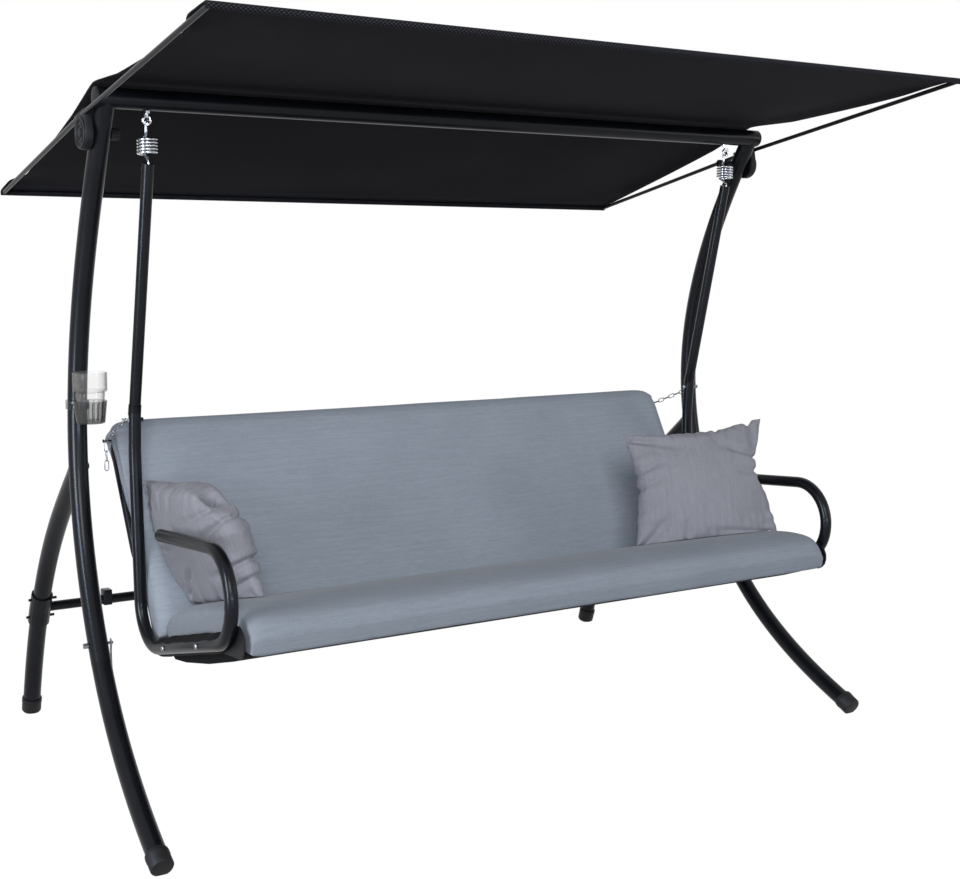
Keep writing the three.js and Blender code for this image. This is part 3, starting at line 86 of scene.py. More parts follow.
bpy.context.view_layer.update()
LOG = logging.getLogger("swing_bench")
SETBACK = -0.0385  # where the top beam's axis lies in y
TURN = 2 * math.pi
UP = Vector((0, 0, 1))
WHITE = (1, 1, 1, 1)


class Side(Enum):
    """The two ends of the bench."""

    LEFT = -1
    RIGHT = 1

    @property
    def word(self) -> str:
        """The end's word in the names of nodes."""
        return self.name.lower()

    @property
    def out(self) -> Vector:
        """The way out of the bench at this end."""
        return Vector((self.value, 0, 0))


# Shader maths


class Value:
    """A shader socket that Python's operators add Math nodes to."""

    def __init__(self, graph: "Graph", socket: Socket) -> None:
        """Keeps the graph and the socket."""
        self.graph = graph
        self.socket = socket

    def _maths(self, operation: str, *others: "Value | float") -> "Value":
        """The result of a Math node on this value and the others."""
        return self.graph.maths(operation, self, *others)

    def __add__(self, other: "Value | float") -> "Value":
        """Sum."""
        return self._maths("ADD", other)

    __radd__ = __add__

    def __mul__(self, other: "Value | float") -> "Value":
        """Product."""
        return self._maths("MULTIPLY", other)

    __rmul__ = __mul__

    def __sub__(self, other: "Value | float") -> "Value":
        """Difference."""
        return self._maths("SUBTRACT", other)

    def __rsub__(self, other: float) -> "Value":
        """Difference from a number."""
        return self.graph.maths("SUBTRACT", other, self)

    def power(self, exponent: float) -> "Value":
        """This value raised to a power."""
        return self._maths("POWER", exponent)

    def sine(self) -> "Value":
        """Sine of this value in radians."""
        return self._maths("SINE")

    def band(self, low: float, high: float) -> "Value":
        """0 below low, 1 above high and smooth between them."""
        node = self.graph.node("ShaderNodeMapRange", {"interpolation_type": "SMOOTHSTEP", "clamp": True},
                               Value=self, From_Min=low, From_Max=high)
        return Value(self.graph, node.outputs["Result"])


class Graph:
    """The node tree of a material or of the world, and the one way in which nodes are added to it."""

    def __init__(self, owner: Owner) -> None:
        """Turns on the owner's nodes and finds its main shader."""
        owner.use_nodes = True
        self.owner = owner
        self.tree = owner.node_tree
        self.shader = next(n for n in self.tree.nodes if n.type in ("BSDF_PRINCIPLED", "BACKGROUND"))

    @classmethod
    def of(cls, name: str) -> "Graph":
        """The graph of a new material."""
        return cls(bpy.data.materials.new(name))

    def node(self, kind: str, settings: dict | None = None, **inputs: object) -> bpy.types.Node:
        """Adds a node.

        Args:
            kind: The node's type.
            settings: Its settings, which are set before its sockets.
            inputs: Values or links of its sockets, with an underscore for each blank in a socket's name.

        Returns:
            The node.
        """
        made = self.tree.nodes.new(kind)
        for key, value in (settings or {}).items():
            setattr(made, key, value)
        for key, value in inputs.items():
            self.feed(self._socket(made, key), value)
        return made

    @staticmethod
    def _socket(made: bpy.types.Node, key: str) -> Socket:
        """The input socket of a node by its number or its name."""
        if key[0] == "i" and key[1:].isdigit():
            return made.inputs[int(key[1:])]
        name = key.replace("_", " ")
        return next(s for s in made.inputs if s.name == name and s.enabled)

    def feed(self, socket: Socket, value: object) -> None:
        """Links a value to a socket, or sets the socket to a number or a colour."""
        if isinstance(value, Value):
            self.tree.links.new(value.socket, socket)
        elif isinstance(value, Socket):
            self.tree.links.new(value, socket)
        else:
            socket.default_value = value

    def maths(self, operation: str, *terms: Value | float) -> Value:
        """A Math node on values and numbers."""
        inputs = {f"i{i}": term for i, term in enumerate(terms)}
        return Value(self, self.node("ShaderNodeMath", {"operation": operation}, **inputs).outputs[0])

    def objects(self) -> Socket:
        """Object coordinates."""
        return self.node("ShaderNodeTexCoord").outputs["Object"]

    def cloth(self) -> Socket:
        """The piece's own cloth coordinates in metres."""
        return self.node("ShaderNodeAttribute", {"attribute_name": "cloth"}).outputs["Vector"]

    def scaled(self, vector: Socket, *scale: float) -> Socket:
        """Coordinates scaled along each axis."""
        return self.node("ShaderNodeMapping", None, Vector=vector, Scale=scale).outputs[0]

    def parts(self, vector: Socket) -> tuple[Value, Value, Value]:
        """The three parts of a vector."""
        node = self.node("ShaderNodeSeparateXYZ", None, Vector=vector)
        return tuple(Value(self, s) for s in node.outputs)

    def clouds(self, vector: Socket, scale: float, detail: float = 2, rough: float = 0.5) -> Value:
        """Noise from 0 to 1."""
        node = self.node("ShaderNodeTexNoise", None, Vector=vector, Scale=scale, Detail=detail, Roughness=rough)
        return Value(self, node.outputs["Fac"])

    def mix(self, share: Value, low: object, high: object) -> Socket:
        """A colour between two by a share."""
        node = self.node("ShaderNodeMix", {"data_type": "RGBA"}, i0=share, i6=low, i7=high)
        return node.outputs[2]

    def bump(self, height: Value, strength: float, distance: float) -> Socket:
        """A normal from a height."""
        node = self.node("ShaderNodeBump", None, Height=height, Strength=strength, Distance=distance)
        return node.outputs[0]

    def seen(self) -> Value:
        """1 for the camera's rays and for those in mirrors and clear plastic, and 0 for light's other ways."""
        rays = self.node("ShaderNodeLightPath").outputs
        kinds = [Value(self, rays[f"Is {word} Ray"]) for word in ("Camera", "Glossy", "Transmission")]
        return self.maths("MAXIMUM", self.maths("MAXIMUM", *kinds[:2]), kinds[2])

    def blend(self, share: Value, other: bpy.types.Node) -> None:
        """Shows the main shader with a share of another one."""
        mix = self.node("ShaderNodeMixShader", None, i0=share, i1=self.shader.outputs[0], i2=other.outputs[0])
        output = next(n for n in self.tree.nodes if n.type.startswith("OUTPUT"))
        self.tree.links.new(mix.outputs[0], output.inputs["Surface"])

    def finish(self, **inputs: object) -> Material:
        """Sets the main shader's sockets and gives the material."""
        for key, value in inputs.items():
            self.feed(self._socket(self.shader, key), value)
        return self.owner


@dataclass(frozen=True)
class PowderCoat:
    """Semi-gloss anthracite powder coat with a faint orange peel and light dust."""

    name: str = "powder_coat"
    dark: Colour = (0.0055, 0.0062, 0.0085, 1)
    light: Colour = (0.0085, 0.0098, 0.0135, 1)
    roughness: float = 0.24

    def material(self) -> Material:
        """The node material."""
        g = Graph.of(self.name)
        where = g.objects()
        patches = g.clouds(where, 9, 4)
        peel = g.clouds(where, 420, 2)
        grain = g.clouds(where, 2200, 1)
        return g.finish(
            Base_Color=g.mix(patches.band(0.3, 0.75), self.dark, self.light), Specular_IOR_Level=0.1,
            Roughness=self.roughness + patches * 0.07 + grain * 0.04, Coat_Weight=0.07, Coat_Roughness=0.1,
            Normal=g.bump(peel + grain * 0.3, 0.16, 0.0004))


@dataclass(frozen=True)
class Moulding:
    """Matt black moulded plastic with a spark-eroded grain."""

    name: str = "black_moulding"
    dark: Colour = (0.005, 0.005, 0.006, 1)
    light: Colour = (0.010, 0.010, 0.0115, 1)
    roughness: float = 0.5

    def material(self) -> Material:
        """The node material."""
        g = Graph.of(self.name)
        where = g.objects()
        grain = g.clouds(where, 1500, 3)
        scuffs = g.clouds(where, 60, 4)
        return g.finish(
            Base_Color=g.mix(scuffs.band(0.35, 0.8), self.dark, self.light),
            Roughness=self.roughness + scuffs * 0.14, Specular_IOR_Level=0.2, Normal=g.bump(grain, 0.3, 0.0003))


@dataclass(frozen=True)
class Plating:
    """Bright plate on steel: chrome when smooth, zinc when it has a spangle."""

    name: str
    dark: Colour
    light: Colour
    roughness: float
    spangle: float

    def material(self) -> Material:
        """The node material."""
        g = Graph.of(self.name)
        where = g.objects()
        patches = g.clouds(where, 160, 3)
        grain = g.clouds(where, 1400, 2)
        return g.finish(
            Base_Color=g.mix(patches.band(0.3, 0.7), self.dark, self.light), Metallic=1.0,
            Roughness=self.roughness + patches * self.spangle, Normal=g.bump(grain, 0.08, 0.0002))


@dataclass(frozen=True)
class ClearMoulding:
    """Clear or smoky moulded plastic: see-through where it is faced, darker and glossier where it turns away."""

    name: str
    tint: Colour
    edge: Colour
    alpha: float
    edge_alpha: float

    def material(self) -> Material:
        """The node material."""
        g = Graph.of(self.name)
        where = g.objects()
        flow = g.clouds(where, 50, 2)
        facing = Value(g, g.node("ShaderNodeLayerWeight", None, Blend=0.4).outputs["Facing"])
        rim = facing.power(1.7)
        g.owner.surface_render_method = "BLENDED"
        return g.finish(
            Base_Color=g.mix(facing.band(0.25, 0.7), self.tint, self.edge), Roughness=0.05 + flow * 0.05,
            Alpha=self.alpha + rim * (self.edge_alpha - self.alpha), Specular_IOR_Level=0.3, Coat_Weight=0.12,
            Coat_Roughness=0.04, Normal=g.bump(flow, 0.2, 0.0015))


@dataclass(frozen=True)
class Melange:
    """Blue-grey melange weave: dark and pale yarns in broken streaks along one way of the cloth."""

    name: str
    dark: Colour
    light: Colour
    threads: float = 3900

    def material(self) -> Material:
        """The node material."""
        g = Graph.of(self.name)
        flat = g.cloth()
        yarns = g.clouds(g.scaled(flat, 30, 620, 620), 1, 2, 0.6)
        bands = g.clouds(g.scaled(flat, 6, 120, 120), 1, 2, 0.6)
        warp = g.clouds(g.scaled(flat, 760, 50, 50), 1, 1)
        worn = g.clouds(flat, 5, 3)
        u, v, _ = g.parts(flat)
        weave = (u * self.threads).sine() * (v * self.threads).sine()
        tone = yarns * 0.5 + bands * 0.28 + warp * 0.25 + worn * 0.2 - 0.115
        colour = g.mix(tone.band(0.15, 0.85), self.dark, self.light)
        return g.finish(
            Base_Color=colour, Roughness=0.8 + yarns * 0.1, Sheen_Weight=0.1, Sheen_Roughness=0.45,
            Specular_IOR_Level=0.2, Normal=g.bump(yarns * 0.6 + weave * 0.25 + bands * 0.2, 0.16, 0.0005))


@dataclass(frozen=True)
class Webbing:
    """Black open weave of the slings, and of the canopy with its paler hems."""

    name: str
    dark: Colour
    light: Colour
    hem: Colour
    pitch: float
    hemmed: bool = False

    def material(self) -> Material:
        """The node material."""
        g = Graph.of(self.name)
        flat = g.cloth() if self.hemmed else g.objects()
        u, v, edge = g.parts(flat)
        step = TURN / self.pitch
        over = (u * step).sine() * (v * step).sine()
        thread = g.clouds(g.scaled(flat, 60, 900, 60), 1, 2)
        worn = g.clouds(flat, 3, 4)
        tone = (over * 0.5 + 0.5) * 0.45 + thread * 0.35 + worn * 0.3
        colour = g.mix(tone.band(0.25, 0.95), self.dark, self.light)
        if self.hemmed:
            coarse = ((u * step * 0.22).sine() * (v * step * 0.3).sine()).band(-0.2, 0.9)
            colour = g.mix(edge.band(0.2, 0.8), colour, g.mix(coarse, self.dark, self.hem))
        return g.finish(
            Base_Color=colour, Roughness=0.78 + worn * 0.16, Specular_IOR_Level=0.06,
            Normal=g.bump(over * 0.6 + thread * 0.3, 0.3, 0.0005))


Look = PowderCoat | Moulding | Plating | ClearMoulding | Melange | Webbing


class Finish(Enum):
    """The finishes, each with its slot in the record and its look."""

    PAINT = ("painted_steel", PowderCoat())
    PLASTIC = ("black_plastic", Moulding())
    ZINC = ("zinc_steel", Plating("zinc_plate", (0.15, 0.15, 0.16, 1), (0.27, 0.27, 0.285, 1), 0.26, 0.16))
    CHROME = ("chrome", Plating("chrome_plate", (0.42, 0.43, 0.46, 1), (0.58, 0.59, 0.62, 1), 0.08, 0.06))
    SMOKY = ("smoky_plastic", ClearMoulding("smoky_moulding", (0.06, 0.063, 0.068, 1), (0.008, 0.0085, 0.01, 1),
                                            0.2, 0.97))
    CLEAR = ("clear_plastic", ClearMoulding("clear_moulding", (0.5, 0.49, 0.48, 1), (0.07, 0.07, 0.072, 1),
                                            0.06, 0.85))
    WEB = ("black_webbing", Webbing("black_web", (0.008, 0.008, 0.009, 1), (0.02, 0.02, 0.022, 1),
                                    (0.04, 0.04, 0.045, 1), 0.0032))
    CUSHION = ("grey_cushion", Melange("cushion_weave", (0.235, 0.272, 0.33, 1), (0.365, 0.41, 0.485, 1)))
    # SEAT is the cushion weave darkened by about 13%: painted shade, so that the seat pad looks darker than the back
    # pad
    SEAT = ("grey_cushion", Melange("seat_weave", (0.205, 0.237, 0.288, 1), (0.318, 0.358, 0.424, 1)))
    PILLOW = ("grey_cushion", Melange("pillow_weave", (0.205, 0.21, 0.25, 1), (0.33, 0.336, 0.386, 1)))
    CANOPY = ("black_cloth", Webbing("canopy_weave", (0.0085, 0.008, 0.0108, 1), (0.0135, 0.0126, 0.0165, 1),
                                     (0.052, 0.057, 0.069, 1), 0.0022, True))

    def __init__(self, slot: str, look: Look) -> None:
        """Keeps the slot and the look."""
        self.slot = slot
        self.look = look


# Places


@dataclass(frozen=True)
class Plane:
    """A working plane that runs across the bench: a run along it and a rise square to it, at any x."""

    origin: Pair
    slope: Pair
    square: Pair

    def at(self, x: float, run: float, rise: float) -> Vector:
        """The point at x, a run along the plane and a rise above it."""
        y = self.origin[0] + self.slope[0] * run + self.square[0] * rise
        z = self.origin[1] + self.slope[1] * run + self.square[1] * rise
        return Vector((x, y + SETBACK, z))

    def way(self, run: float, rise: float) -> Vector:
        """The direction of a run and a rise."""
        return self.at(0, run, rise) - self.at(0, 0, 0)


SEAT = Plane((0.063, 0.368), (-0.964585, 0.263790), (0.263790, 0.964585))
BACK = Plane((0.063, 0.368), (0.507538, 0.861629), (-0.861629, 0.507538))
CANOPY = Plane((0.055, 1.667), (0.980271, -0.197657), (0.197657, 0.980271))


def spot(x: float, y: float, z: float) -> Vector:
    """A point with y measured from the top beam's axis."""
    return Vector((x, y + SETBACK, z))


def mirrored(points: Iterable[Vector], side: Side) -> list[Vector]:
    """Points of the left end, or their mirror images for the right end."""
    return [Vector((p.x * -side.value, p.y, p.z)) for p in points]


def ease(value: float, low: float, high: float) -> float:
    """0 below low, 1 above high and smooth between them."""
    t = min(max((value - low) / (high - low), 0), 1)
    return t * t * (3 - 2 * t)


def roundness(share: float) -> float:
    """The height of a quarter circle at a share of its width."""
    return math.sqrt(max(0.0, 1 - (1 - share) ** 2))


def angles(count: int) -> list[float]:
    """Even angles of one full turn."""
    return [TURN * k / count for k in range(count)]


def outward(angle: float) -> Vector:
    """The level direction at an angle."""
    return Vector((math.cos(angle), math.sin(angle), 0))


def bezier(a: Vector, b: Vector, c: Vector, d: Vector, steps: int) -> list[Vector]:
    """Points on a cubic curve."""
    points = []
    for i in range(steps + 1):
        t = i / steps
        s = 1 - t
        points.append(a * s ** 3 + b * (3 * s * s * t) + c * (3 * s * t * t) + d * t ** 3)
    return points


def bent(corners: Sequence[Vector], radii: Sequence[float], step: float = 0.12) -> list[Vector]:
    """Straight runs between corners, with an arc at each inner corner."""
    points = [corners[0]]
    for i, radius in enumerate(radii, 1):
        first = (corners[i] - corners[i - 1]).normalized()
        second = (corners[i + 1] - corners[i]).normalized()
        turn = first.angle(second)
        inward = (second - first * first.dot(second)).normalized()
        start = corners[i] - first * radius * math.tan(turn / 2)
        centre = start + inward * radius
        count = max(3, round(turn / step))
        for k in range(count + 1):
            angle = turn * k / count
            points.append(centre - inward * radius * math.cos(angle) + first * radius * math.sin(angle))
    points.append(corners[-1])
    return points


def smooth(points: Sequence[Vector], steps: int) -> list[Vector]:
    """A curve through the points, with some steps between each two."""
    ends = [points[0], *points, points[-1]]
    line = []
    for i in range(1, len(ends) - 2):
        p0, p1, p2, p3 = ends[i - 1:i + 3]
        for k in range(steps):
            t = k / steps
            line.append(0.5 * (2 * p1 + (p2 - p0) * t + (2 * p0 - 5 * p1 + 4 * p2 - p3) * t * t
                               + (3 * p1 - p0 - 3 * p2 + p3) * t ** 3))
    line.append(points[-1])
    return line


# Meshes


def loft(rings: Sequence[Sequence[Vector]], closed: bool = True, capped: bool = True,
         looped: bool = False) -> Mesh:
    """Extrudes a first ring through the others.

    Args:
        rings: The places of each ring's points.
        closed: Whether each ring is a loop.
        capped: Whether the first and last rings are filled.
        looped: Whether the last ring joins the first.

    Returns:
        The mesh, with each vertex in the order of its ring.
    """
    mesh = bmesh.new()
    line = [mesh.verts.new(p) for p in rings[0]]
    count = len(line)
    edges = [mesh.edges.new((line[i], line[(i + 1) % count])) for i in range(count if closed else count - 1)]
    first = (line, edges)
    for ring in rings[1:]:
        made = bmesh.ops.extrude_edge_only(mesh, edges=edges)["geom"]
        fresh = {e for e in made if isinstance(e, bmesh.types.BMVert)}
        line = [next(e.other_vert(v) for e in v.link_edges if e.other_vert(v) in fresh) for v in line]
        edges = [e for e in made if isinstance(e, bmesh.types.BMEdge) and set(e.verts) <= fresh]
        for vertex, place in zip(line, ring):
            vertex.co = place
    if looped:
        bmesh.ops.bridge_loops(mesh, edges=edges + first[1])
    elif capped:
        bmesh.ops.contextual_create(mesh, geom=first[0] + first[1])
        bmesh.ops.contextual_create(mesh, geom=line + edges)
    mesh.verts.index_update()
    bmesh.ops.recalc_face_normals(mesh, faces=mesh.faces[:])
    return mesh


def tube(points: Sequence[Vector], radius: float | Sequence[float], sides: int = 32,
         looped: bool = False) -> Mesh:
    """A round tube along points, with one radius or one at each point."""
    count = len(points)
    radii = [radius] * count if isinstance(radius, float) else list(radius)
    rings = []
    aside = None
    for i, point in enumerate(points):
        before = points[i - 1] if i or looped else point
        after = points[(i + 1) % count] if i < count - 1 or looped else point
        run = (after - before).normalized()
        if aside is None:
            aside = run.orthogonal().normalized()
        aside = (aside - run * aside.dot(run)).normalized()
        other = run.cross(aside)
        rings.append([point + (aside * math.cos(a) + other * math.sin(a)) * radii[i] for a in angles(sides)])
    return loft(rings, looped=looped, capped=not looped)


def turned(profile: Line, origin: Vector, axis: Vector, sides: int = 40) -> Mesh:
    """A profile of radius and height, spun about an axis through the origin."""
    mesh = bmesh.new()
    verts = [mesh.verts.new((radius, 0, height)) for radius, height in profile]
    edges = [mesh.edges.new(pair) for pair in zip(verts, verts[1:])]
    bmesh.ops.spin(mesh, geom=verts + edges, cent=(0, 0, 0), axis=UP, angle=TURN, steps=sides, use_merge=True)
    bmesh.ops.remove_doubles(mesh, verts=mesh.verts[:], dist=1e-6)
    turn = UP.rotation_difference(axis.normalized()).to_matrix().to_4x4()
    bmesh.ops.transform(mesh, matrix=Matrix.Translation(origin) @ turn, verts=mesh.verts[:])
    bmesh.ops.recalc_face_normals(mesh, faces=mesh.faces[:])
    return mesh


def bevelled(mesh: Mesh, edges: Sequence[bmesh.types.BMEdge], offset: float) -> Mesh:
    """A mesh with some of its edges rounded."""
    bmesh.ops.bevel(mesh, geom=edges, offset=offset, offset_type="OFFSET", segments=3, profile=0.5,
                    affect="EDGES", material=-1)
    return mesh


def plug(radius: float, deep: float, dome: Line) -> list[Pair]:
    """The profile of a plug in a tube's end: its shank, then its dome as shares of the radius and heights."""
    shank = radius - 0.002
    rim = 0.0003
    return [(0, -deep), (shank, -deep), (shank, rim), (radius, rim), *[(radius * a, b) for a, b in dome]]


def plate(outline: Sequence[Vector], depth: Vector, bevel: float) -> Mesh:
    """A flat outline given a thickness, with its rims rounded."""
    mesh = bmesh.new()
    face = mesh.faces.new([mesh.verts.new(p) for p in outline])
    made = bmesh.ops.extrude_face_region(mesh, geom=[face])["geom"]
    moved = [e for e in made if isinstance(e, bmesh.types.BMVert)]
    bmesh.ops.translate(mesh, vec=depth, verts=moved)
    bmesh.ops.recalc_face_normals(mesh, faces=mesh.faces[:])
    way = depth.normalized()
    rims = [e for e in mesh.edges if abs((e.verts[0].co - e.verts[1].co).normalized().dot(way)) < 0.5]
    return bevelled(mesh, rims, bevel)


def block(size: Sequence[float], centre: Vector, bevel: float) -> Mesh:
    """A box with rounded edges."""
    mesh = bmesh.new()
    bmesh.ops.create_cube(mesh, size=1, matrix=Matrix.Translation(centre) @ Matrix.Diagonal((*size, 1)))
    return bevelled(mesh, mesh.edges[:], bevel)


def stored(name: str, mesh: Mesh) -> bpy.types.Mesh:
    """A working mesh as mesh data, after which it is freed."""
    data = bpy.data.meshes.new(name)
    mesh.to_mesh(data)
    mesh.free()
    return data


def placed(name: str, data: bpy.types.ID) -> bpy.types.Object:
    """A new object in the scene."""
    made = bpy.data.objects.new(name, data)
    bpy.context.scene.collection.objects.link(made)
    return made


def together(*meshes: Mesh) -> Mesh:
    """Several meshes in one."""
    whole = bmesh.new()
    for mesh in meshes:
        held = stored("held", mesh)
        whole.from_mesh(held)
        bpy.data.meshes.remove(held)
    return whole


@dataclass
class Dresser:
    """Turns meshes into finished pieces that ride with their bodies."""

    materials: dict[Finish, Material]

    def piece(self, name: str, mesh: Mesh, finish: Finish, body: str | None,
              nodes: Sequence[str] = (), level: int = 0, sharp: float = 0.6) -> bpy.types.Object:
        """Makes one piece.

        Args:
            name: The piece's name.
            mesh: Its shape, in the bench's frame.
            finish: Its finish.
            body: The body that it rides on, or None where it rides on no body.
            nodes: The nodes that it stands for.
            level: How often it is subdivided.
            sharp: The least angle in radians of an edge that stays sharp.

        Returns:
            The new object.
        """
        data = stored(name, mesh)
        data.shade_smooth()
        data.set_sharp_from_angle(angle=sharp)
        made = placed(name, data)
        data.materials.append(self.materials[finish])
        if level:
            rounding = made.modifiers.new("rounding", "SUBSURF")
            rounding.levels = rounding.render_levels = level
        if body:
            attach(made, body)
        if nodes:
            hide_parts(*nodes)
        LOG.info("%s: %d faces on %s", name, len(data.polygons), body)
        return made

    def sided(self, side: Side, names: str, mesh: Mesh, finish: Finish, body: str) -> None:
        """Makes one end's piece from its name and its node's, both without the end's word."""
        name, node = (f"{word}_{side.word}" for word in names.split())
        self.piece(name, mesh, finish, body, [node])

    def dress(self, finish: Finish, *nodes: str) -> None:
        """Gives carried-over nodes their finish."""
        for node in nodes:
            slots = frame["nodes"][node].data.materials
            slots.clear()
            slots.append(self.materials[finish])
            LOG.info("%s: dressed", node)


def cloth_places(mesh: Mesh, places: Sequence[Triple]) -> None:
    """Stores each vertex's place on its cloth, in metres."""
    layer = mesh.verts.layers.float_vector.new("cloth")
    mesh.verts.ensure_lookup_table()
    for vertex, place in zip(mesh.verts, places):
        vertex[layer] = place


# Stand


LEG = [spot(*p) for p in ((-1.028, 0, 1.748), (-1.023, 0.170, 1.460), (-1.030, 0.495, 0.926), (-1.065, 0.030, 0.357))]
REAR = [spot(*p) for p in ((-1.038, 0.257, 0.830), (-1.038, 0.406, 0.692), (-1.038, 0.671, 0.538),
                           (-1.038, 0.821, 0.004))]


@dataclass
class Stand:
    """Top beam, bowed legs, feet, and the rear crossbar with its clamps."""

    dresser: Dresser
    tube_radius: float = 0.025
    beam_height: float = 1.748
    beam_half: float = 1.05
    cap_radius: float = 0.0279
    cap_length: float = 0.046
    clip_wire: float = 0.0013
    crossbar_height: float = 0.352
    crossbar_radius: float = 0.014
    coupling_place: float = 0.842
    coupling: Triple = (0.026, 0.034, 0.046)

    @staticmethod
    def front_foot() -> list[Vector]:
        """The left front foot's centreline, to the end of its cap."""
        run = (LEG[3] - LEG[2]).normalized()
        start = LEG[3] + run * 0.0003
        end, toe = spot(-1.094, -0.472, 0.019), spot(-1.094, -0.430, 0.041)
        return bezier(start, start + run * 0.286, toe, end, 30)

    def foot_cap(self, line: Sequence[Vector]) -> Mesh:
        """A rubber cup over a tube's end with a ribbed rim, cut flat on the floor."""
        run = (line[-1] - line[-3]).normalized()
        r, deep = self.cap_radius, -self.cap_length
        profile = [(0, 0), (r * 0.7, 0), (r * 0.92, -0.0015), (r, -0.005), (r, -0.030), (r + 0.0008, -0.032),
                   (r + 0.0008, deep + 0.004), (r, deep), (self.tube_radius, deep - 0.0005),
                   (self.tube_radius - 0.002, deep + 0.01), (0, deep + 0.01)]
        return self.above_floor(turned(profile, line[-1], run), 0)

    @staticmethod
    def above_floor(mesh: Mesh, height: float = 0.002) -> Mesh:
        """A mesh cut flat at a height, and closed there."""
        bmesh.ops.bisect_plane(mesh, geom=mesh.verts[:] + mesh.edges[:] + mesh.faces[:], plane_co=(0, 0, height),
                               plane_no=(0, 0, -1), clear_outer=True)
        bmesh.ops.holes_fill(mesh, edges=[e for e in mesh.edges if e.is_boundary])
        return mesh

    def dress(self) -> None:
        """Builds the stand's pieces."""
        d = self.dresser
        ends = [spot(-self.beam_half, 0, self.beam_height), spot(self.beam_half, 0, self.beam_height)]
        d.piece("beam_tube", tube(ends, self.tube_radius, 40), Finish.PAINT, "stand", ["top_beam"])
        for side in Side:
            lines = (bezier(*LEG, 40), self.front_foot(), bezier(*REAR, 34))
            leg, foot, rear = (mirrored(line, side) for line in lines)
            foot_tube = self.above_floor(tube(foot[:-1], self.tube_radius - 0.0003))
            rear_tube = self.above_floor(tube(rear[:-1], self.tube_radius))
            d.sided(side, "leg_tube front_leg", tube(leg, self.tube_radius), Finish.PAINT, "stand")
            d.sided(side, "foot_tube front_foot", foot_tube, Finish.PAINT, "stand")
            d.sided(side, "rear_tube rear_leg", rear_tube, Finish.PAINT, "stand")
            d.sided(side, "front_rubber front_foot_cap", self.foot_cap(foot), Finish.PLASTIC, "stand")
            d.sided(side, "rear_rubber rear_foot_cap", self.foot_cap(rear), Finish.PLASTIC, "stand")
            self.beam_end(side)
            self.leg_pin(side)
        self.crossbar()
        d.dress(Finish.PAINT, "crossbar_clamp_left", "crossbar_clamp_right")
        d.dress(Finish.ZINC, "foot_pin_left", "foot_pin_right")

    def beam_end(self, side: Side) -> None:
        """The domed plug in the beam's end."""
        profile = plug(self.tube_radius, 0.01, ((1, 0.003), (0.94, 0.0056), (0.7, 0.0074), (0, 0.008)))
        origin = spot(side.value * self.beam_half, 0, self.beam_height)
        self.dresser.sided(side, "beam_plug beam_cap", turned(profile, origin, side.out), Finish.PLASTIC, "stand")

    def leg_pin(self, side: Side) -> None:
        """The spring clip through the pin that locks a foot."""
        low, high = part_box(f"pin_clip_{side.word}")
        wire = self.clip_wire
        near, far = low.y + wire, high.y - wire
        top, foot = high.z - 0.001, low.z + wire
        line = ((far, 1), (far, 0.5), (far, 0.12), (near * 0.45 + far * 0.55, 0), (near + 0.001, 0.1),
                (near + 0.004, 0.42), (far - 0.006, 0.7), (near + 0.0012, 0.84), (near + 0.0022, 0.93),
                (far - 0.0055, 1))
        points = [Vector(((low.x + high.x) / 2, y, foot + (top - foot) * share)) for y, share in line]
        self.dresser.sided(side, "spring_clip pin_clip", tube(smooth(points, 6), wire, 10), Finish.ZINC, "stand")

    def crossbar(self) -> None:
        """The crossbar between the rear legs, with the blocks that hold its ends."""
        low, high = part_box("rear_crossbar")
        y = (low.y + high.y) / 2
        ends = [Vector((x, y, self.crossbar_height)) for x in (low.x + 0.002, high.x - 0.002)]
        places = [Vector((side.value * self.coupling_place, y, self.crossbar_height + 0.008)) for side in Side]
        parts = [tube(ends, self.crossbar_radius, 28)] + [block(self.coupling, place, 0.003) for place in places]
        self.dresser.piece("crossbar_tube", together(*parts), Finish.PAINT, "stand", ["rear_crossbar"])


# Hanging gear


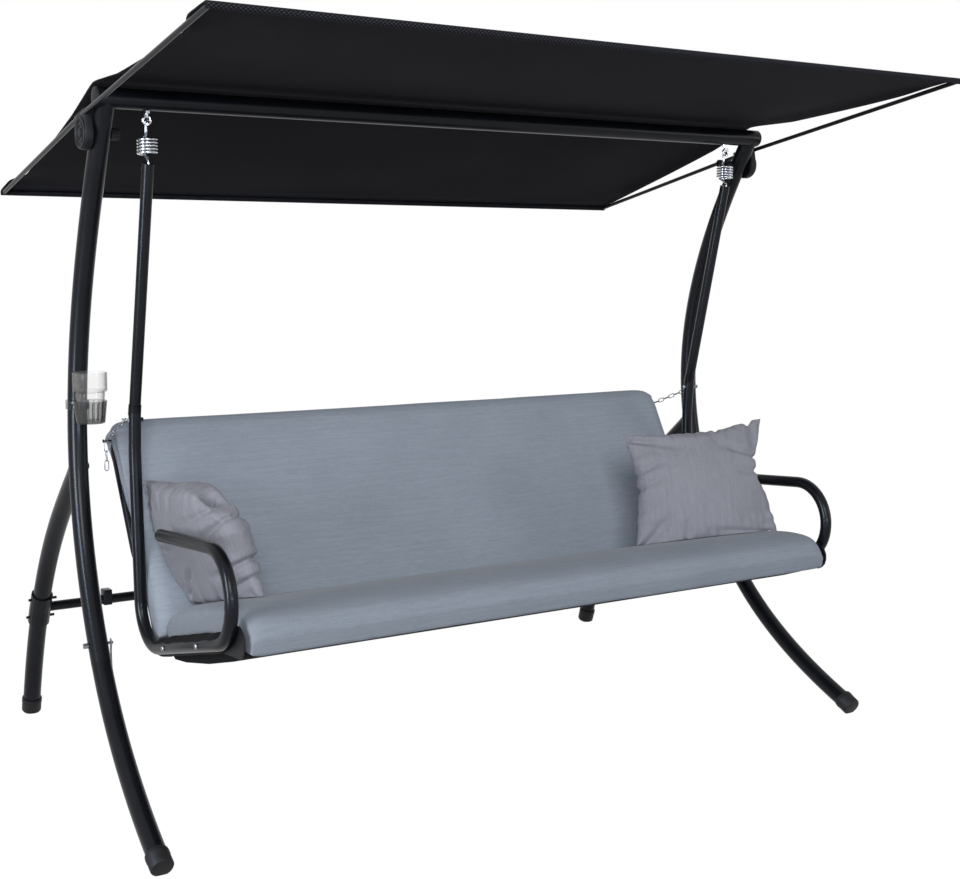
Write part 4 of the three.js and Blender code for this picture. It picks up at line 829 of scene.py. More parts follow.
@dataclass
class HangingGear:
    """Eye bolts, coil springs, hangers, arm rails and chains."""

    dresser: Dresser
    spread: float = 0.928
    eye_height: float = 1.701
    eye_radius: float = 0.009
    nut_top: float = 1.7226
    swing_height: float = 1.692
    pin_height: float = 1.584
    rail_radius: float = 0.016
    hanger_radius: float = 0.0148
    spring_radius: float = 0.0225
    spring_wire: float = 0.00325
    turns: int = 5
    pitch: float = 0.0077
    stem: float = 0.033
    hook: float = 0.0077
    knee: Vector = field(default_factory=lambda: spot(-0.928, 0.137, 0.980))

    def spring_line(self) -> list[Vector]:
        """The left spring's wire, from its upper hook round the coil to its lower hook."""
        x = -self.spread
        coil_top = self.swing_height - self.stem
        coil = self.turns * self.pitch
        rise = self.swing_height - self.pin_height - self.stem - coil
        points = []
        for k in range(13):
            angle = math.pi * (1.15 - 1.15 * k / 12)
            points.append(spot(x, self.hook * math.cos(angle), self.swing_height + self.hook * math.sin(angle)))
        points.append(spot(x, self.hook * 0.9, coil_top + self.stem * 0.5))
        points.append(spot(x, self.spring_radius * 0.55, coil_top + self.stem * 0.18))
        steps = 16
        for k in range(self.turns * steps + 1):
            angle = math.pi / 2 - k / steps * TURN
            points.append(spot(x + self.spring_radius * math.cos(angle), self.spring_radius * math.sin(angle),
                               coil_top - coil * k / (self.turns * steps)))
        points.append(spot(x, self.spring_radius * 0.35, self.pin_height + rise * 0.82))
        points.append(spot(x, -self.hook * 0.7, self.pin_height + rise * 0.6))
        points.append(spot(x, -self.hook, self.pin_height + rise * 0.3))
        for k in range(11):
            angle = math.pi * (1 + 1.05 * k / 10)
            points.append(spot(x, self.hook * math.cos(angle), self.pin_height + self.hook * math.sin(angle)))
        return smooth(points, 2)

    def rail_line(self) -> list[Vector]:
        """The left arm rail's centreline, from the knee round under the seat to the armrest's end."""
        x = -self.spread
        corners = [self.knee, spot(x, 0.144, 0.870), spot(x, 0.119, 0.352), spot(x, -0.488, 0.518),
                   spot(x, -0.488, 0.728), spot(x, -0.040, 0.685)]
        return bent(corners, [0.5, 0.106, 0.1115, 0.1115])

    def dress(self) -> None:
        """Builds the hanging gear's pieces."""
        d = self.dresser
        for side in Side:
            self.eye_bolt(side)
            line = mirrored(self.spring_line(), side)
            coil = d.piece(f"coil_spring_{side.word}", tube(line, self.spring_wire, 12), Finish.CHROME, None)
            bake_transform(coil)
            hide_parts(f"hanging_spring_{side.word}")
            rail = mirrored(self.rail_line(), side)
            d.sided(side, "rail_tube arm_rail", tube(rail, self.rail_radius, 28), Finish.PAINT, "seat")
            self.hanger(side)
            self.arm_end(side, rail)
        d.dress(Finish.CHROME, "chain_bolt_left", "chain_bolt_right")

    def hanger(self, side: Side) -> None:
        """The straight tube from the spring to the knee, with its pin and collar."""
        top = spot(-self.spread, 0, self.pin_height)
        run = (self.knee - top).normalized()
        start, end = mirrored([top - run * 0.014, self.knee], side)
        pin = [spot(side.value * (self.spread + s * 0.016), 0, self.pin_height) for s in (-1, 1)]
        down = (end - start).normalized()
        collar = turned([(0.0140, -0.017), (0.0164, -0.015), (0.0166, 0.012), (0.0155, 0.013)], end, down)
        shape = together(tube([start, end], self.hanger_radius, 28), tube(pin, 0.0035, 16), collar)
        self.dresser.sided(side, "hanger_tube hanger", shape, Finish.PAINT, "seat")

    def eye_bolt(self, side: Side) -> None:
        """The ring bolt and its nut under the beam."""
        x = side.value * self.spread
        centre = spot(x, 0, self.eye_height)
        ring = [centre + Vector((math.cos(a), 0, math.sin(a))) * self.eye_radius for a in angles(32)]
        stem = tube([spot(x, 0, self.nut_top + 0.0001), spot(x, 0, self.eye_height + self.eye_radius)], 0.004, 20)
        nut = turned([(0, 0), (0.0098, 0), (0.0098, -0.006), (0, -0.006)], spot(x, 0, self.nut_top), UP, 6)
        shape = together(tube(ring, 0.0036, 14, True), stem, nut)
        self.dresser.sided(side, "ring_bolt eye_bolt", shape, Finish.CHROME, "stand")

    def arm_end(self, side: Side, rail: Sequence[Vector]) -> None:
        """The plug in the armrest's end."""
        run = (rail[-1] - rail[-2]).normalized()
        profile = plug(self.rail_radius, 0.012, ((1, 0.0028), (0.92, 0.0052), (0.6, 0.0067), (0, 0.007)))
        self.dresser.sided(side, "arm_plug arm_cap", turned(profile, rail[-1], run), Finish.PLASTIC, "seat")


@dataclass
class Chains:
    """The welded chains that set the back's slope, each with a loose tail."""

    dresser: Dresser
    wire: float = 0.00125
    width: float = 0.013
    bolt_hold: float = 0.0036
    peg: float = 0.002
    gap: float = 0.0006
    overlap: float = 0.0009
    taut: int = 9
    loose: int = 3
    plane: float = 0.9512
    hook_plane: float = 0.938

    def link(self, centre: Vector, run: Vector, turned_over: bool, length: float) -> Mesh:
        """One stadium of wire."""
        half = (length - self.width) / 2
        radius = self.width / 2 - self.wire
        flat = Vector((1, 0, 0)).cross(run).normalized()
        side = run.cross(flat).normalized() if turned_over else flat
        points = []
        for start in angles(24):
            angle = start + TURN / 48
            along = radius * math.cos(angle) + half * math.copysign(1, math.cos(angle))
            points.append(centre + run * along + side * radius * math.sin(angle))
        return tube(points, self.wire, 10, True)

    def dress(self) -> None:
        """Builds both chains and both tails."""
        bolt = spot(-self.plane, 0.1385, 0.956)
        peg = BACK.at(-self.hook_plane, 0.583, 0.009)
        run = (peg - bolt).normalized()
        take_up = 4 * self.wire - self.overlap
        held = self.bolt_hold + self.peg + self.gap
        length = ((peg - bolt).length + held + 4 * self.wire + (self.taut - 1) * take_up) / self.taut
        below = run.cross(Vector((1, 0, 0))).normalized()
        below = below if below.z < 0 else -below
        drop = self.width / 2 - 3 * self.wire - self.gap
        tail = peg - run * (self.peg + 2 * self.wire + self.gap) + below * drop + Vector((0, 0, -self.wire))
        for side in Side:
            self.chain(f"chain_{side.word}", bolt - run * self.bolt_hold, run, self.taut, 0, length, side)
            self.chain(f"chain_tail_{side.word}", tail, Vector((0, 0, -1)), self.loose, 1, length, side)

    def chain(self, node: str, start: Vector, run: Vector, count: int, first: int, length: float, side: Side) -> None:
        """A row of links from a start, each turned a quarter against the one before."""
        pitch = length - (4 * self.wire - self.overlap)
        centre = start + run * (length / 2 - 2 * self.wire)
        parts = [self.link(centre + run * pitch * i, run, (i + first) % 2 == 1, length) for i in range(count)]
        shape = together(*parts)
        if side is Side.RIGHT:
            bmesh.ops.scale(shape, vec=(-1, 1, 1), verts=shape.verts[:])
            bmesh.ops.recalc_face_normals(shape, faces=shape.faces[:])
        body = ("tail_" if "tail" in node else "chain_") + side.word + "_body"
        self.dresser.piece(node.replace("chain", "links"), shape, Finish.ZINC, body, [node])


# Seat and back


@dataclass
class Frames:
    """The seat's and the back's tube frames with their slings and side cheeks."""

    dresser: Dresser
    radius: float = 0.0125
    corner: float = 0.06
    seat_half: float = 0.893
    seat_depth: float = 0.56
    back_half: float = 0.914
    back_start: float = 0.206
    back_end: float = 0.612
    hinge_place: float = 0.7

    def loop(self, plane: Plane, half: float, start: float, end: float) -> list[Vector]:
        """The centreline of a rectangle with round corners."""
        corners = [plane.at(0, start, 0), plane.at(-half, start, 0), plane.at(-half, end, 0),
                   plane.at(half, end, 0), plane.at(half, start, 0), plane.at(0.001, start, 0)]
        return bent(corners, [self.corner] * 4, 0.16)

    def dress(self) -> None:
        """Builds the frames' pieces."""
        d = self.dresser
        bolts = []
        for side in Side:
            for depth in (0.150, 0.385):
                head = SEAT.at(side.value * 0.9443, depth, 0)
                bolts.append(tube([SEAT.at(side.value * 0.9, depth, 0), head], 0.004, 14))
                bolts.append(turned([(0, -0.0002), (0.0072, 0), (0.0072, 0.0022), (0.006, 0.0035), (0.003, 0.004),
                                     (0, 0.004)], head, side.out, 24))
        loop = self.loop(SEAT, self.seat_half, 0, self.seat_depth)
        d.piece("seat_loop", tube(loop, self.radius, 24), Finish.PAINT, "seat", ["seat_frame"])
        d.piece("seat_bolts", together(*bolts), Finish.ZINC, "seat")
        d.piece("seat_sleeves", together(*[self.sleeve(side) for side in Side]), Finish.WEB, "seat")
        self.back()
        d.dress(Finish.WEB, "seat_sling", "back_sling")
        d.dress(Finish.PLASTIC, "seat_end_plate_left", "seat_end_plate_right")

    def sleeve(self, side: Side) -> Mesh:
        """The sling's gathered edge round the seat's side tube, which fills the gap to the arm rail."""
        count = 36
        line, radii = [], []
        for k in range(count + 1):
            share = k / count
            gather = noise.noise(Vector((share * 9, side.value, 0.4)))
            ends = min(share, 1 - share, 0.08) / 0.08
            x = side.value * (0.9155 + gather * 0.0015)
            line.append(SEAT.at(x, 0.035 + 0.47 * share, 0.002 + gather * 0.004))
            radii.append(0.0165 + 0.0085 * ends + gather * 0.002)
        return tube(line, radii, 20)

    def back(self) -> None:
        """The back frame with its hinge eyes and chain pegs."""
        parts = [tube(self.loop(BACK, self.back_half, self.back_start, self.back_end), self.radius, 24)]
        across = Vector((1, 0, 0))
        turn = Matrix((across, BACK.way(1, 0), BACK.way(0, 1))).transposed().to_4x4()
        for side in Side:
            x = side.value * self.hinge_place
            bar = block((0.022, 0.182, 0.009), Vector(), 0.002)
            bmesh.ops.transform(bar, matrix=Matrix.Translation(BACK.at(x, 0.106, 0)) @ turn, verts=bar.verts[:])
            eye = turned([(0.0131, 0), (0.0175, 0), (0.018, 0.0005), (0.018, 0.0215), (0.0175, 0.022),
                          (0.0131, 0.022), (0.0131, 0)], BACK.at(x - 0.011, 0, 0), across)
            start, face, end = (BACK.at(side.value * s, 0.583, 0.009) for s in (0.914, 0.943, 0.946))
            peg = tube([start, end], 0.002, 16)
            head = turned([(0, 0), (0.005, 0), (0.005, 0.002), (0.0037, 0.003), (0, 0.003)], face,
                          side.out, 24)
            parts += [bar, eye, peg, head]
        self.dresser.piece("back_loop", together(*parts), Finish.PAINT, "backrest", ["back_frame"])


@dataclass
class Cushion:
    """A long pad: a top and a bottom line lofted across the bench, with rounded ends."""

    dresser: Dresser
    name: str
    node: str
    body: str
    plane: Plane
    tops: Line
    bottoms: Line
    half: Callable[[float], float]
    finish: Finish = Finish.CUSHION
    end: float = 0.042
    slack: float = 0.0016
    fill: float = 0.8

    def rings(self) -> tuple[list[list[Vector]], list[Triple]]:
        """The rings from end to end, and each point's place on the cloth."""
        tops = smooth([Vector((a, b, 0)) for a, b in self.tops], 5)
        bottoms = smooth([Vector((a, b, 0)) for a, b in self.bottoms], 5)
        under, over = self.matched(tops, bottoms), self.matched(bottoms, tops)
        shares = [0, 0.04, 0.1, 0.2, 0.32, 0.46, 0.62, 0.8, 1]
        inner = [k / 90 * 2 - 1 for k in range(1, 90)]
        stations = [(-1, s) for s in shares] + [(x, 1) for x in inner] + [(1, s) for s in reversed(shares)]
        rings, places = [], []
        for side, share in stations:
            swell = 0.26 + 0.74 * roundness(share)
            full = swell + (1 - swell) * 0.6
            ring = [self.between(a, b, swell) for a, b in zip(tops, under)]
            ring += [self.between(a, b, full) for a, b in reversed(list(zip(bottoms, over)))]
            across = []
            walked = 0.0
            for i, p in enumerate(ring):
                walked += (p - ring[i - 1]).length if i else 0
                place = self.plane.at(side * (self.half(p.x) - self.end * share), p.x, p.y)
                across.append(place)
                places.append((place.x, walked, 0))
            rings.append(across)
        return rings, places

    @staticmethod
    def matched(line: Sequence[Vector], other: Sequence[Vector]) -> list[Vector]:
        """For each point of a line, the point at the same share of another one."""
        last, end = len(line) - 1, len(other) - 1
        return [other[round(i / last * end)] for i in range(len(line))]

    def height(self, x: float, run: float) -> float | None:
        """How high something rests on the pad's top, or none beside the pad."""
        left = (self.half(run) - abs(x)) / self.end
        for (a, b), (c, d) in zip(self.tops, self.tops[1:]):
            if a <= run < c and left > 0:
                top = b + (d - b) * (run - a) / (c - a) + 0.001
                return top * (0.6 + 0.4 * roundness(min(left, 1)))
        return None

    @staticmethod
    def between(a: Vector, b: Vector, swell: float) -> Vector:
        """A point drawn from one line towards the middle of two."""
        middle = (a + b) / 2
        return middle + (a - middle) * swell

    def dress(self) -> None:
        rings, places = self.rings()
        mesh = loft(rings)
        cloth_places(mesh, places)
        mesh.normal_update()
        for vertex in mesh.verts:
            wave = noise.noise(vertex.co * Vector((3.1, 6, 6)))
            fine = noise.noise(vertex.co * Vector((11, 16, 16)))
            vertex.co += vertex.normal * self.slack * (wave + fine * 0.35 - 0.4)
        made = self.dresser.piece(self.name, mesh, self.finish, self.body, [self.node], 1, 1.2)


def seat_pad(dresser: Dresser) -> Cushion:
    """The long seat cushion, whose front rolls over the frame's front tube."""
    rear, front, low, crown = 0.043, 0.607, 0.017, 0.097
    shares = [(0, 0.42), (0.04, 0.76), (0.13, 0.94), (0.29, 1), (0.5, 1), (0.69, 0.93), (0.83, 0.79), (0.925, 0.58),
              (0.985, 0.27), (1, -0.2)]
    tops = [(rear + (front - rear) * a, low + (crown - low) * b) for a, b in shares]
    face = 0.5731
    bottoms = [(rear, low + (crown - low) * 0.16), (rear + 0.011, low)]
    bottoms += [(rear + (front - rear) * a, low) for a in (0.13, 0.29, 0.5, 0.69, 0.83)]
    bottoms += [(face, low), (face, -0.0304), (face + (front - face) * 0.45, -0.038)]
    # Finish.SEAT is the cushion cloth with painted shade, darker than the back pad's
    return Cushion(dresser, "seat_pad", "seat_cushion", "seat", SEAT, tops, bottoms, lambda _: 0.893, Finish.SEAT)


def back_half(climb: float) -> float:
    """Half the back cushion's width at a climb: wider above the seat and at the hood, with round upper corners."""
    corner, top, half = 0.066, 0.633, 0.909
    over = max(climb - top + corner, 0)
    drawn = corner - math.sqrt(max(corner ** 2 - over ** 2, 0))
    return half + 0.017 * ease(climb, 0.245, 0.46) + 0.015 * ease(climb, 0.584, 0.600) - drawn * 0.9


def back_pad(dresser: Dresser) -> Cushion:
    """The long back cushion, which ends in a hood over the frame's top tube."""
    front = [(20, 36), (36, 50), (62, 60), (110, 67), (180, 69), (300, 69), (420, 69), (520, 68), (578, 66),
             (598, 63), (618, 52), (629, 36), (633, 22)]
    rear = [(20, -12), (32, -19), (62, -21), (110, -21), (176, -19), (222, 17), (420, 17), (520, 17), (578, 17),
            (586, -20), (610, -22), (626, -14), (632, 2)]
    tops = [(a / 1000, b / 1000) for a, b in front]
    bottoms = [(a / 1000, b / 1000) for a, b in rear]
    return Cushion(dresser, "back_pad", "back_cushion", "backrest", BACK, tops, bottoms, back_half)


@dataclass
class Filling:
    """Two sewn panels blown up by a cloth simulation, from which every pillow starts."""

    width: float = 0.42
    height: float = 0.352
    thickness: float = 0.124
    slack: float = 1.1
    cells: tuple[int, int] = (60, 52)
    frames: int = 16

    def panels(self) -> Mesh:
        """Two slightly crowned panels that share their rim."""
        mesh = bmesh.new()
        bmesh.ops.create_grid(mesh, x_segments=self.cells[0], y_segments=self.cells[1], size=0.5)
        layer = mesh.verts.layers.float_vector.new("cloth")
        for vertex in mesh.verts:
            vertex[layer] = (vertex.co.y * self.height, vertex.co.x * self.width, 0)
        twin = bmesh.ops.duplicate(mesh, geom=mesh.faces[:])["geom"]
        under = [f for f in twin if isinstance(f, bmesh.types.BMFace)]
        bmesh.ops.reverse_faces(mesh, faces=under)
        lower = {v for f in under for v in f.verts}
        for vertex in mesh.verts:
            if not vertex.is_boundary:
                a, b = vertex.co.x * 2, vertex.co.y * 2
                crown = math.sqrt((1 - a * a) * (1 - b * b)) * self.thickness * 0.25
                vertex.co.z = -crown if vertex in lower else crown
        bmesh.ops.scale(mesh, vec=(self.width * self.slack, self.height * self.slack, 1), verts=mesh.verts[:])
        bmesh.ops.remove_doubles(mesh, verts=[v for v in mesh.verts if v.is_boundary], dist=1e-5)
        bmesh.ops.recalc_face_normals(mesh, faces=mesh.faces[:])
        return mesh

    def blown(self) -> bpy.types.Mesh:
        """The panels after the simulation."""
        data = stored("panels", self.panels())
        body = placed("panels", data)
        cloth = body.modifiers.new("cloth", "CLOTH")
        cloth.collision_settings.use_collision = False
        s = cloth.settings
        s.quality = 8
        s.mass = 0.3
        s.tension_stiffness = s.compression_stiffness = 200
        s.shear_stiffness = 80
        s.bending_stiffness = 0.5
        s.use_pressure = True
        s.uniform_pressure_force = 5
        s.effector_weights.gravity = 0
        for step in range(1, self.frames + 1):
            bpy.context.scene.frame_set(step)
        view = body.evaluated_get(bpy.context.evaluated_depsgraph_get())
        done = bpy.data.meshes.new_from_object(view)
        bpy.context.scene.frame_set(1)
        bpy.data.objects.remove(body)
        return done


@dataclass(frozen=True)
class Fold:
    """A crease in a pillow's panel, between two places at shares of its half width and half height."""

    start: Pair
    end: Pair
    depth: float
    width: float = 0.07

    def at(self, a: float, b: float) -> float:
        """How deep the crease is at a place: deepest near its start, with a raised flank on each side."""
        run = Vector(self.end) - Vector(self.start)
        away = Vector((a, b)) - Vector(self.start)
        share = min(max(away.dot(run) / run.length_squared, 0), 1)
        square = ((away - run * share).length / (self.width * (0.6 + 0.7 * share))) ** 2
        return self.depth * (1 - 0.9 * square) * math.exp(-square) * (1 - share) ** 0.6


RIGHT_FOLDS = (
    Fold((0.80, 0.98), (0.90, 0.3), 0.018, 0.09), Fold((0.99, 0.36), (0.3, 0.62), 0.018),
    Fold((0.99, 0.14), (0.5, 0.12), 0.012), Fold((0.85, -0.88), (-0.1, -0.78), 0.015, 0.06),
    Fold((-0.99, 0.25), (-0.5, 0.45), 0.012), Fold((-0.99, 0.0), (-0.5, 0.18), 0.012),
    Fold((-0.97, -0.95), (-0.45, -0.4), 0.017, 0.09), Fold((-0.98, 0.9), (-0.2, 0.62), 0.014, 0.08),
    Fold((-0.4, -0.98), (-0.3, -0.55), 0.010), Fold((0.35, 0.98), (0.2, 0.55), 0.009),
)
LEFT_FOLDS = (
    Fold((-0.98, 0.3), (-0.2, -0.02), 0.019, 0.08), Fold((-0.99, -0.36), (-0.35, -0.5), 0.019),
    Fold((-0.99, -0.62), (-0.4, -0.78), 0.016), Fold((0.8, 0.02), (0.3, 0.0), 0.012),
    Fold((0.5, -0.75), (0.1, -0.28), 0.015), Fold((0.4, 0.98), (0.42, 0.5), 0.012, 0.05),
    Fold((0.72, 0.98), (0.65, 0.55), 0.011, 0.05), Fold((0.25, -0.5), (-0.18, -0.12), 0.010),
    Fold((-0.85, 0.55), (-0.05, 0.3), 0.013, 0.08), Fold((-0.2, -0.99), (-0.3, -0.6), 0.010),
    Fold((0.1, 0.98), (0.15, 0.55), 0.010, 0.05),
)


@dataclass
class Pillow:
    """A loose pillow: the filling creased along its seam, leant in its place and pressed where it rests."""

    dresser: Dresser
    filling: Filling
    shape: bpy.types.Mesh
    side: Side
    centre: Vector
    across: Vector
    up: Vector
    slump: Four
    waist: Four
    seed: float
    folds: Sequence[Fold]
    pads: Sequence[Cushion]
    crease: float = 0.012

    def creases(self, a: float, b: float) -> float:
        """How far a point at shares of the panel's half width and height lies below the smooth panel."""
        depth = 0.0
        for edge, (along, into, reach) in enumerate(((b, a, self.filling.width), (a, b, self.filling.height))):
            gap = (1 - abs(into)) * reach / 2
            line = along * 5.5 + math.copysign(20 + 40 * edge, into) + self.seed * 7
            fold = max(0.0, 1 - abs(noise.noise(Vector((line, gap * 9, self.seed)))) * 5)
            strength = 0.55 + 0.75 * noise.noise(Vector((line * 0.31, 3.1, self.seed)))
            depth += fold * max(strength, 0) * math.exp(-gap / 0.06) * (1 - math.exp(-gap / 0.005))
        swell = noise.noise(Vector((a * 1.7, b * 1.7, self.seed)))
        folds = sum(fold.at(a, b) for fold in self.folds)
        return depth * self.crease + folds + swell * 0.004 * (1 - a * a) * (1 - b * b)

    def drawn(self, a: float, b: float) -> Pair:
        """How far the left, right, low and high edges are drawn in between the corners, as shares of the reach."""
        left, right, low, high = self.waist
        across = (left if a < 0 else right) * math.exp(-((b - 0.2) / 0.42) ** 2) * abs(a) ** 3
        upright = (low if b < 0 else high) * (1 - a * a) * abs(b) ** 3
        return across, upright

    def rounded(self, a: float, b: float) -> float:
        """The share of its reach that a point keeps, where the corners are slumped."""
        left, right = max(-a, 0), max(a, 0)
        low, high = max(-b, 0), max(b, 0)
        corners = (left * low, right * low, left * high, right * high)
        return 1 - sum(drop * share ** 1.5 for drop, share in zip(self.slump, corners))

    def dress(self) -> None:
        f = self.filling
        mesh = bmesh.new()
        mesh.from_mesh(self.shape)
        layer = mesh.verts.layers.float_vector["cloth"]
        spans = [max(abs(v.co[i]) for v in mesh.verts) for i in range(3)]
        bmesh.ops.scale(mesh, vec=[w / 2 / s for w, s in zip((f.width, f.height, f.thickness), spans)],
                        verts=mesh.verts[:])
        mesh.normal_update()
        for vertex in mesh.verts:
            a, b = vertex[layer].y * 2 / f.width, vertex[layer].x * 2 / f.height
            vertex.co -= vertex.normal * self.creases(a, b)
            keep = self.rounded(a, b)
            across, upright = self.drawn(a, b)
            vertex.co.x *= keep - across
            vertex.co.y *= keep - upright
        u = self.across.normalized()
        v = (self.up - u * self.up.dot(u)).normalized()
        turn = Matrix((u, v, u.cross(v))).transposed().to_4x4()
        bmesh.ops.transform(mesh, matrix=Matrix.Translation(self.centre) @ turn, verts=mesh.verts[:])
        for vertex in mesh.verts:
            vertex.co = self.pressed(vertex.co)
        name = f"pillow_pad_{self.side.word}"
        made = self.dresser.piece(name, mesh, Finish.PILLOW, "seat", [f"pillow_{self.side.word}"], 1, 2.4)

    def pressed(self, point: Vector) -> Vector:
        """A point moved out of the seat and the back cushions."""
        for pad in self.pads:
            away, square = point - pad.plane.at(point.x, 0, 0), pad.plane.way(0, 1)
            rise = square.dot(away)
            height = pad.height(point.x, pad.plane.way(1, 0).dot(away))
            if height is not None and rise < height:
                point = point + square * (height - rise)
        return point


# Canopy


@dataclass
class Canopy:
    """The tilting roof: rods, sewn cloth, and the hubs with their levers."""

    dresser: Dresser
    front: float = 0.840
    rear: float = 0.765
    rod_rise: float = 0.0275
    hub_rise: float = 0.041
    rod: float = 0.006
    rod_spread: float = 1.069
    half: float = 1.076
    hub: float = 0.080
    hub_top: float = 0.051
    hub_depth: float = 0.02064
    pivot_x: float = 1.027
    thickness: float = 0.0012
    ridge: Pair = (-0.055, 0.081)
    hem_wrap: float = 0.86
    hem_depth: float = 0.045

    def hem(self, run: float, way: int) -> list[Triple]:
        """The cloth's wrap round a cross rod, from its top on: run, rise and how much of it is hem."""
        radius = self.rod + self.thickness
        turns = (math.pi / 2 + way * TURN * self.hem_wrap * k / 14 for k in range(1, 15))
        return [(run + radius * math.cos(a), self.rod_rise + radius * math.sin(a), 1) for a in turns]

    def line(self) -> list[Triple]:
        """The cloth's section from the front hem over the beam to the rear hem, with the beam's place kept free."""
        ridge = Vector((*self.ridge, 0))
        radius = 0.0262 + self.thickness / 2
        height = self.rod_rise + self.rod + self.thickness
        ends = [Vector((-self.front, height, 0)), Vector((self.rear, height, 0))]
        points = self.hem(-self.front, 1)[::-1]
        tilt = [math.atan2(ridge.y + radius - e.y, abs(e.x - ridge.x)) for e in ends]
        crest = []
        for k in range(9):
            angle = math.pi / 2 + tilt[0] - (tilt[0] + tilt[1]) * k / 8
            crest.append(Vector((ridge.x + radius * math.cos(angle), ridge.y + radius * math.sin(angle), 0)))
        for start, end in ((ends[0], crest[0]), (crest[-1], ends[1])):
            count = 40
            for k in range(count + 1):
                t = k / count
                p = start.lerp(end, t)
                sag = -0.006 * math.sin(math.pi * t)
                near = t * (end - start).length if start is ends[0] else (1 - t) * (end - start).length
                points.append((p.x, p.y + sag, 1 if near < self.hem_depth else 0))
            if start is ends[0]:
                points += [(c.x, c.y, 0) for c in crest[1:-1]]
        return points + self.hem(self.rear, -1)

    def cloth(self) -> None:
        """The roof's cloth, with hems at its rods and down its sides."""
        line = self.line()
        run = [0.0]
        for a, b in zip(line, line[1:]):
            run.append(run[-1] + math.hypot(b[0] - a[0], b[1] - a[1]))
        columns = [-1, -0.995, -0.988, -0.98, -0.972, *[k / 40 for k in range(-38, 39)], 0.972, 0.98, 0.988, 0.995, 1]
        rings, places = [], []
        for c in columns:
            ring = []
            for (along, rise, hem), walked in zip(line, run):
                free = ease(min(abs(along + self.front), abs(self.rear - along)), 0.085, 0.195)
                x = c * (self.half - 0.025 * free * abs(c) ** 6)
                clear = min(max(abs(along - self.ridge[0]) - 0.03, 0) / 0.15, 1)
                wave = noise.noise(Vector((x * 2.2, along * 2.5, 0.3))) * 0.003 * (1 - hem) * clear
                droop = -0.010 * max(abs(c) - 0.93, 0) / 0.07 * free * clear
                ring.append(CANOPY.at(x, along, rise + wave + droop))
                side_hem = 1 if abs(c) > 0.985 else 0
                places.append((x, walked, max(hem, side_hem)))
            rings.append(ring)
        mesh = loft(rings, closed=False, capped=False)
        cloth_places(mesh, places)
        made = self.dresser.piece("roof_cloth", mesh, Finish.CANOPY, "canopy", ["canopy_cloth"], 0, 1.2)
        wall = made.modifiers.new("cloth thickness", "SOLIDIFY")
        wall.thickness = self.thickness
        wall.offset = 0
        2 * self.half

    def rods(self) -> None:
        """The two cross rods and the four side rods."""
        for word, run in (("front", -self.front), ("rear", self.rear)):
            ends = [CANOPY.at(s.value * (self.half - 0.0024), run, self.rod_rise) for s in Side]
            self.dresser.piece(f"roof_rod_{word}", tube(ends, self.rod, 20), Finish.PAINT, "canopy",
                               [f"canopy_{word}_rod"])
        for side in Side:
            for word, way, reach in (("front", -1, self.front), ("rear", 1, self.rear)):
                x = side.value * self.rod_spread
                ends = [CANOPY.at(x, way * (self.hub / 2 - 0.026), self.hub_rise),
                        CANOPY.at(x, way * (reach - 0.0066), self.rod_rise)]
                self.dresser.sided(side, f"{word}_stay {word}_side_rod", tube(ends, self.rod, 20), Finish.PAINT,
                                   "canopy")

    def hubs(self) -> None:
        """The clamping hub on each leg."""
        half = self.hub / 2
        for side in Side:
            inner = side.value * (self.pivot_x + 0.026)
            depth = side.out * self.hub_depth
            top = [CANOPY.at(inner, -half, self.hub_top), CANOPY.at(inner, half, self.hub_top)]
            arc = [CANOPY.at(inner, half * math.cos(a), half * math.sin(a))
                   for a in (-math.pi * k / 28 for k in range(29))]
            shell = plate(top + arc, depth, 0.0025)
            face = CANOPY.at(inner, 0, 0) + depth
            rim = turned([(0.0305, -0.001), (0.0385, -0.001), (0.0385, 0.002), (0.037, 0.0033), (0.033, 0.0033),
                          (0.0315, 0.002), (0.0305, -0.001)], face, side.out)
            ring = turned([(0.019, -0.001), (0.0235, -0.001), (0.023, 0.0018), (0.0195, 0.0018), (0.019, -0.001)],
                          face, side.out)
            cap = turned([(0, -0.001), (0.011, -0.001), (0.011, 0.002), (0.009, 0.0033), (0, 0.0033)], face, side.out)
            bolt = tube([CANOPY.at(inner, 0, 0), CANOPY.at(side.value * (self.pivot_x - 0.041), 0, 0)], 0.005, 20)
            self.dresser.sided(side, "hub_shell tilt_hub", together(shell, rim, ring, cap, bolt), Finish.PLASTIC,
                               "canopy")
        self.dresser.dress(Finish.PLASTIC, "tilt_lever_left", "tilt_lever_right")

    def dress(self) -> None:
        """Builds the roof's pieces."""
        self.rods()
        self.cloth()
        self.hubs()


# Drink holder


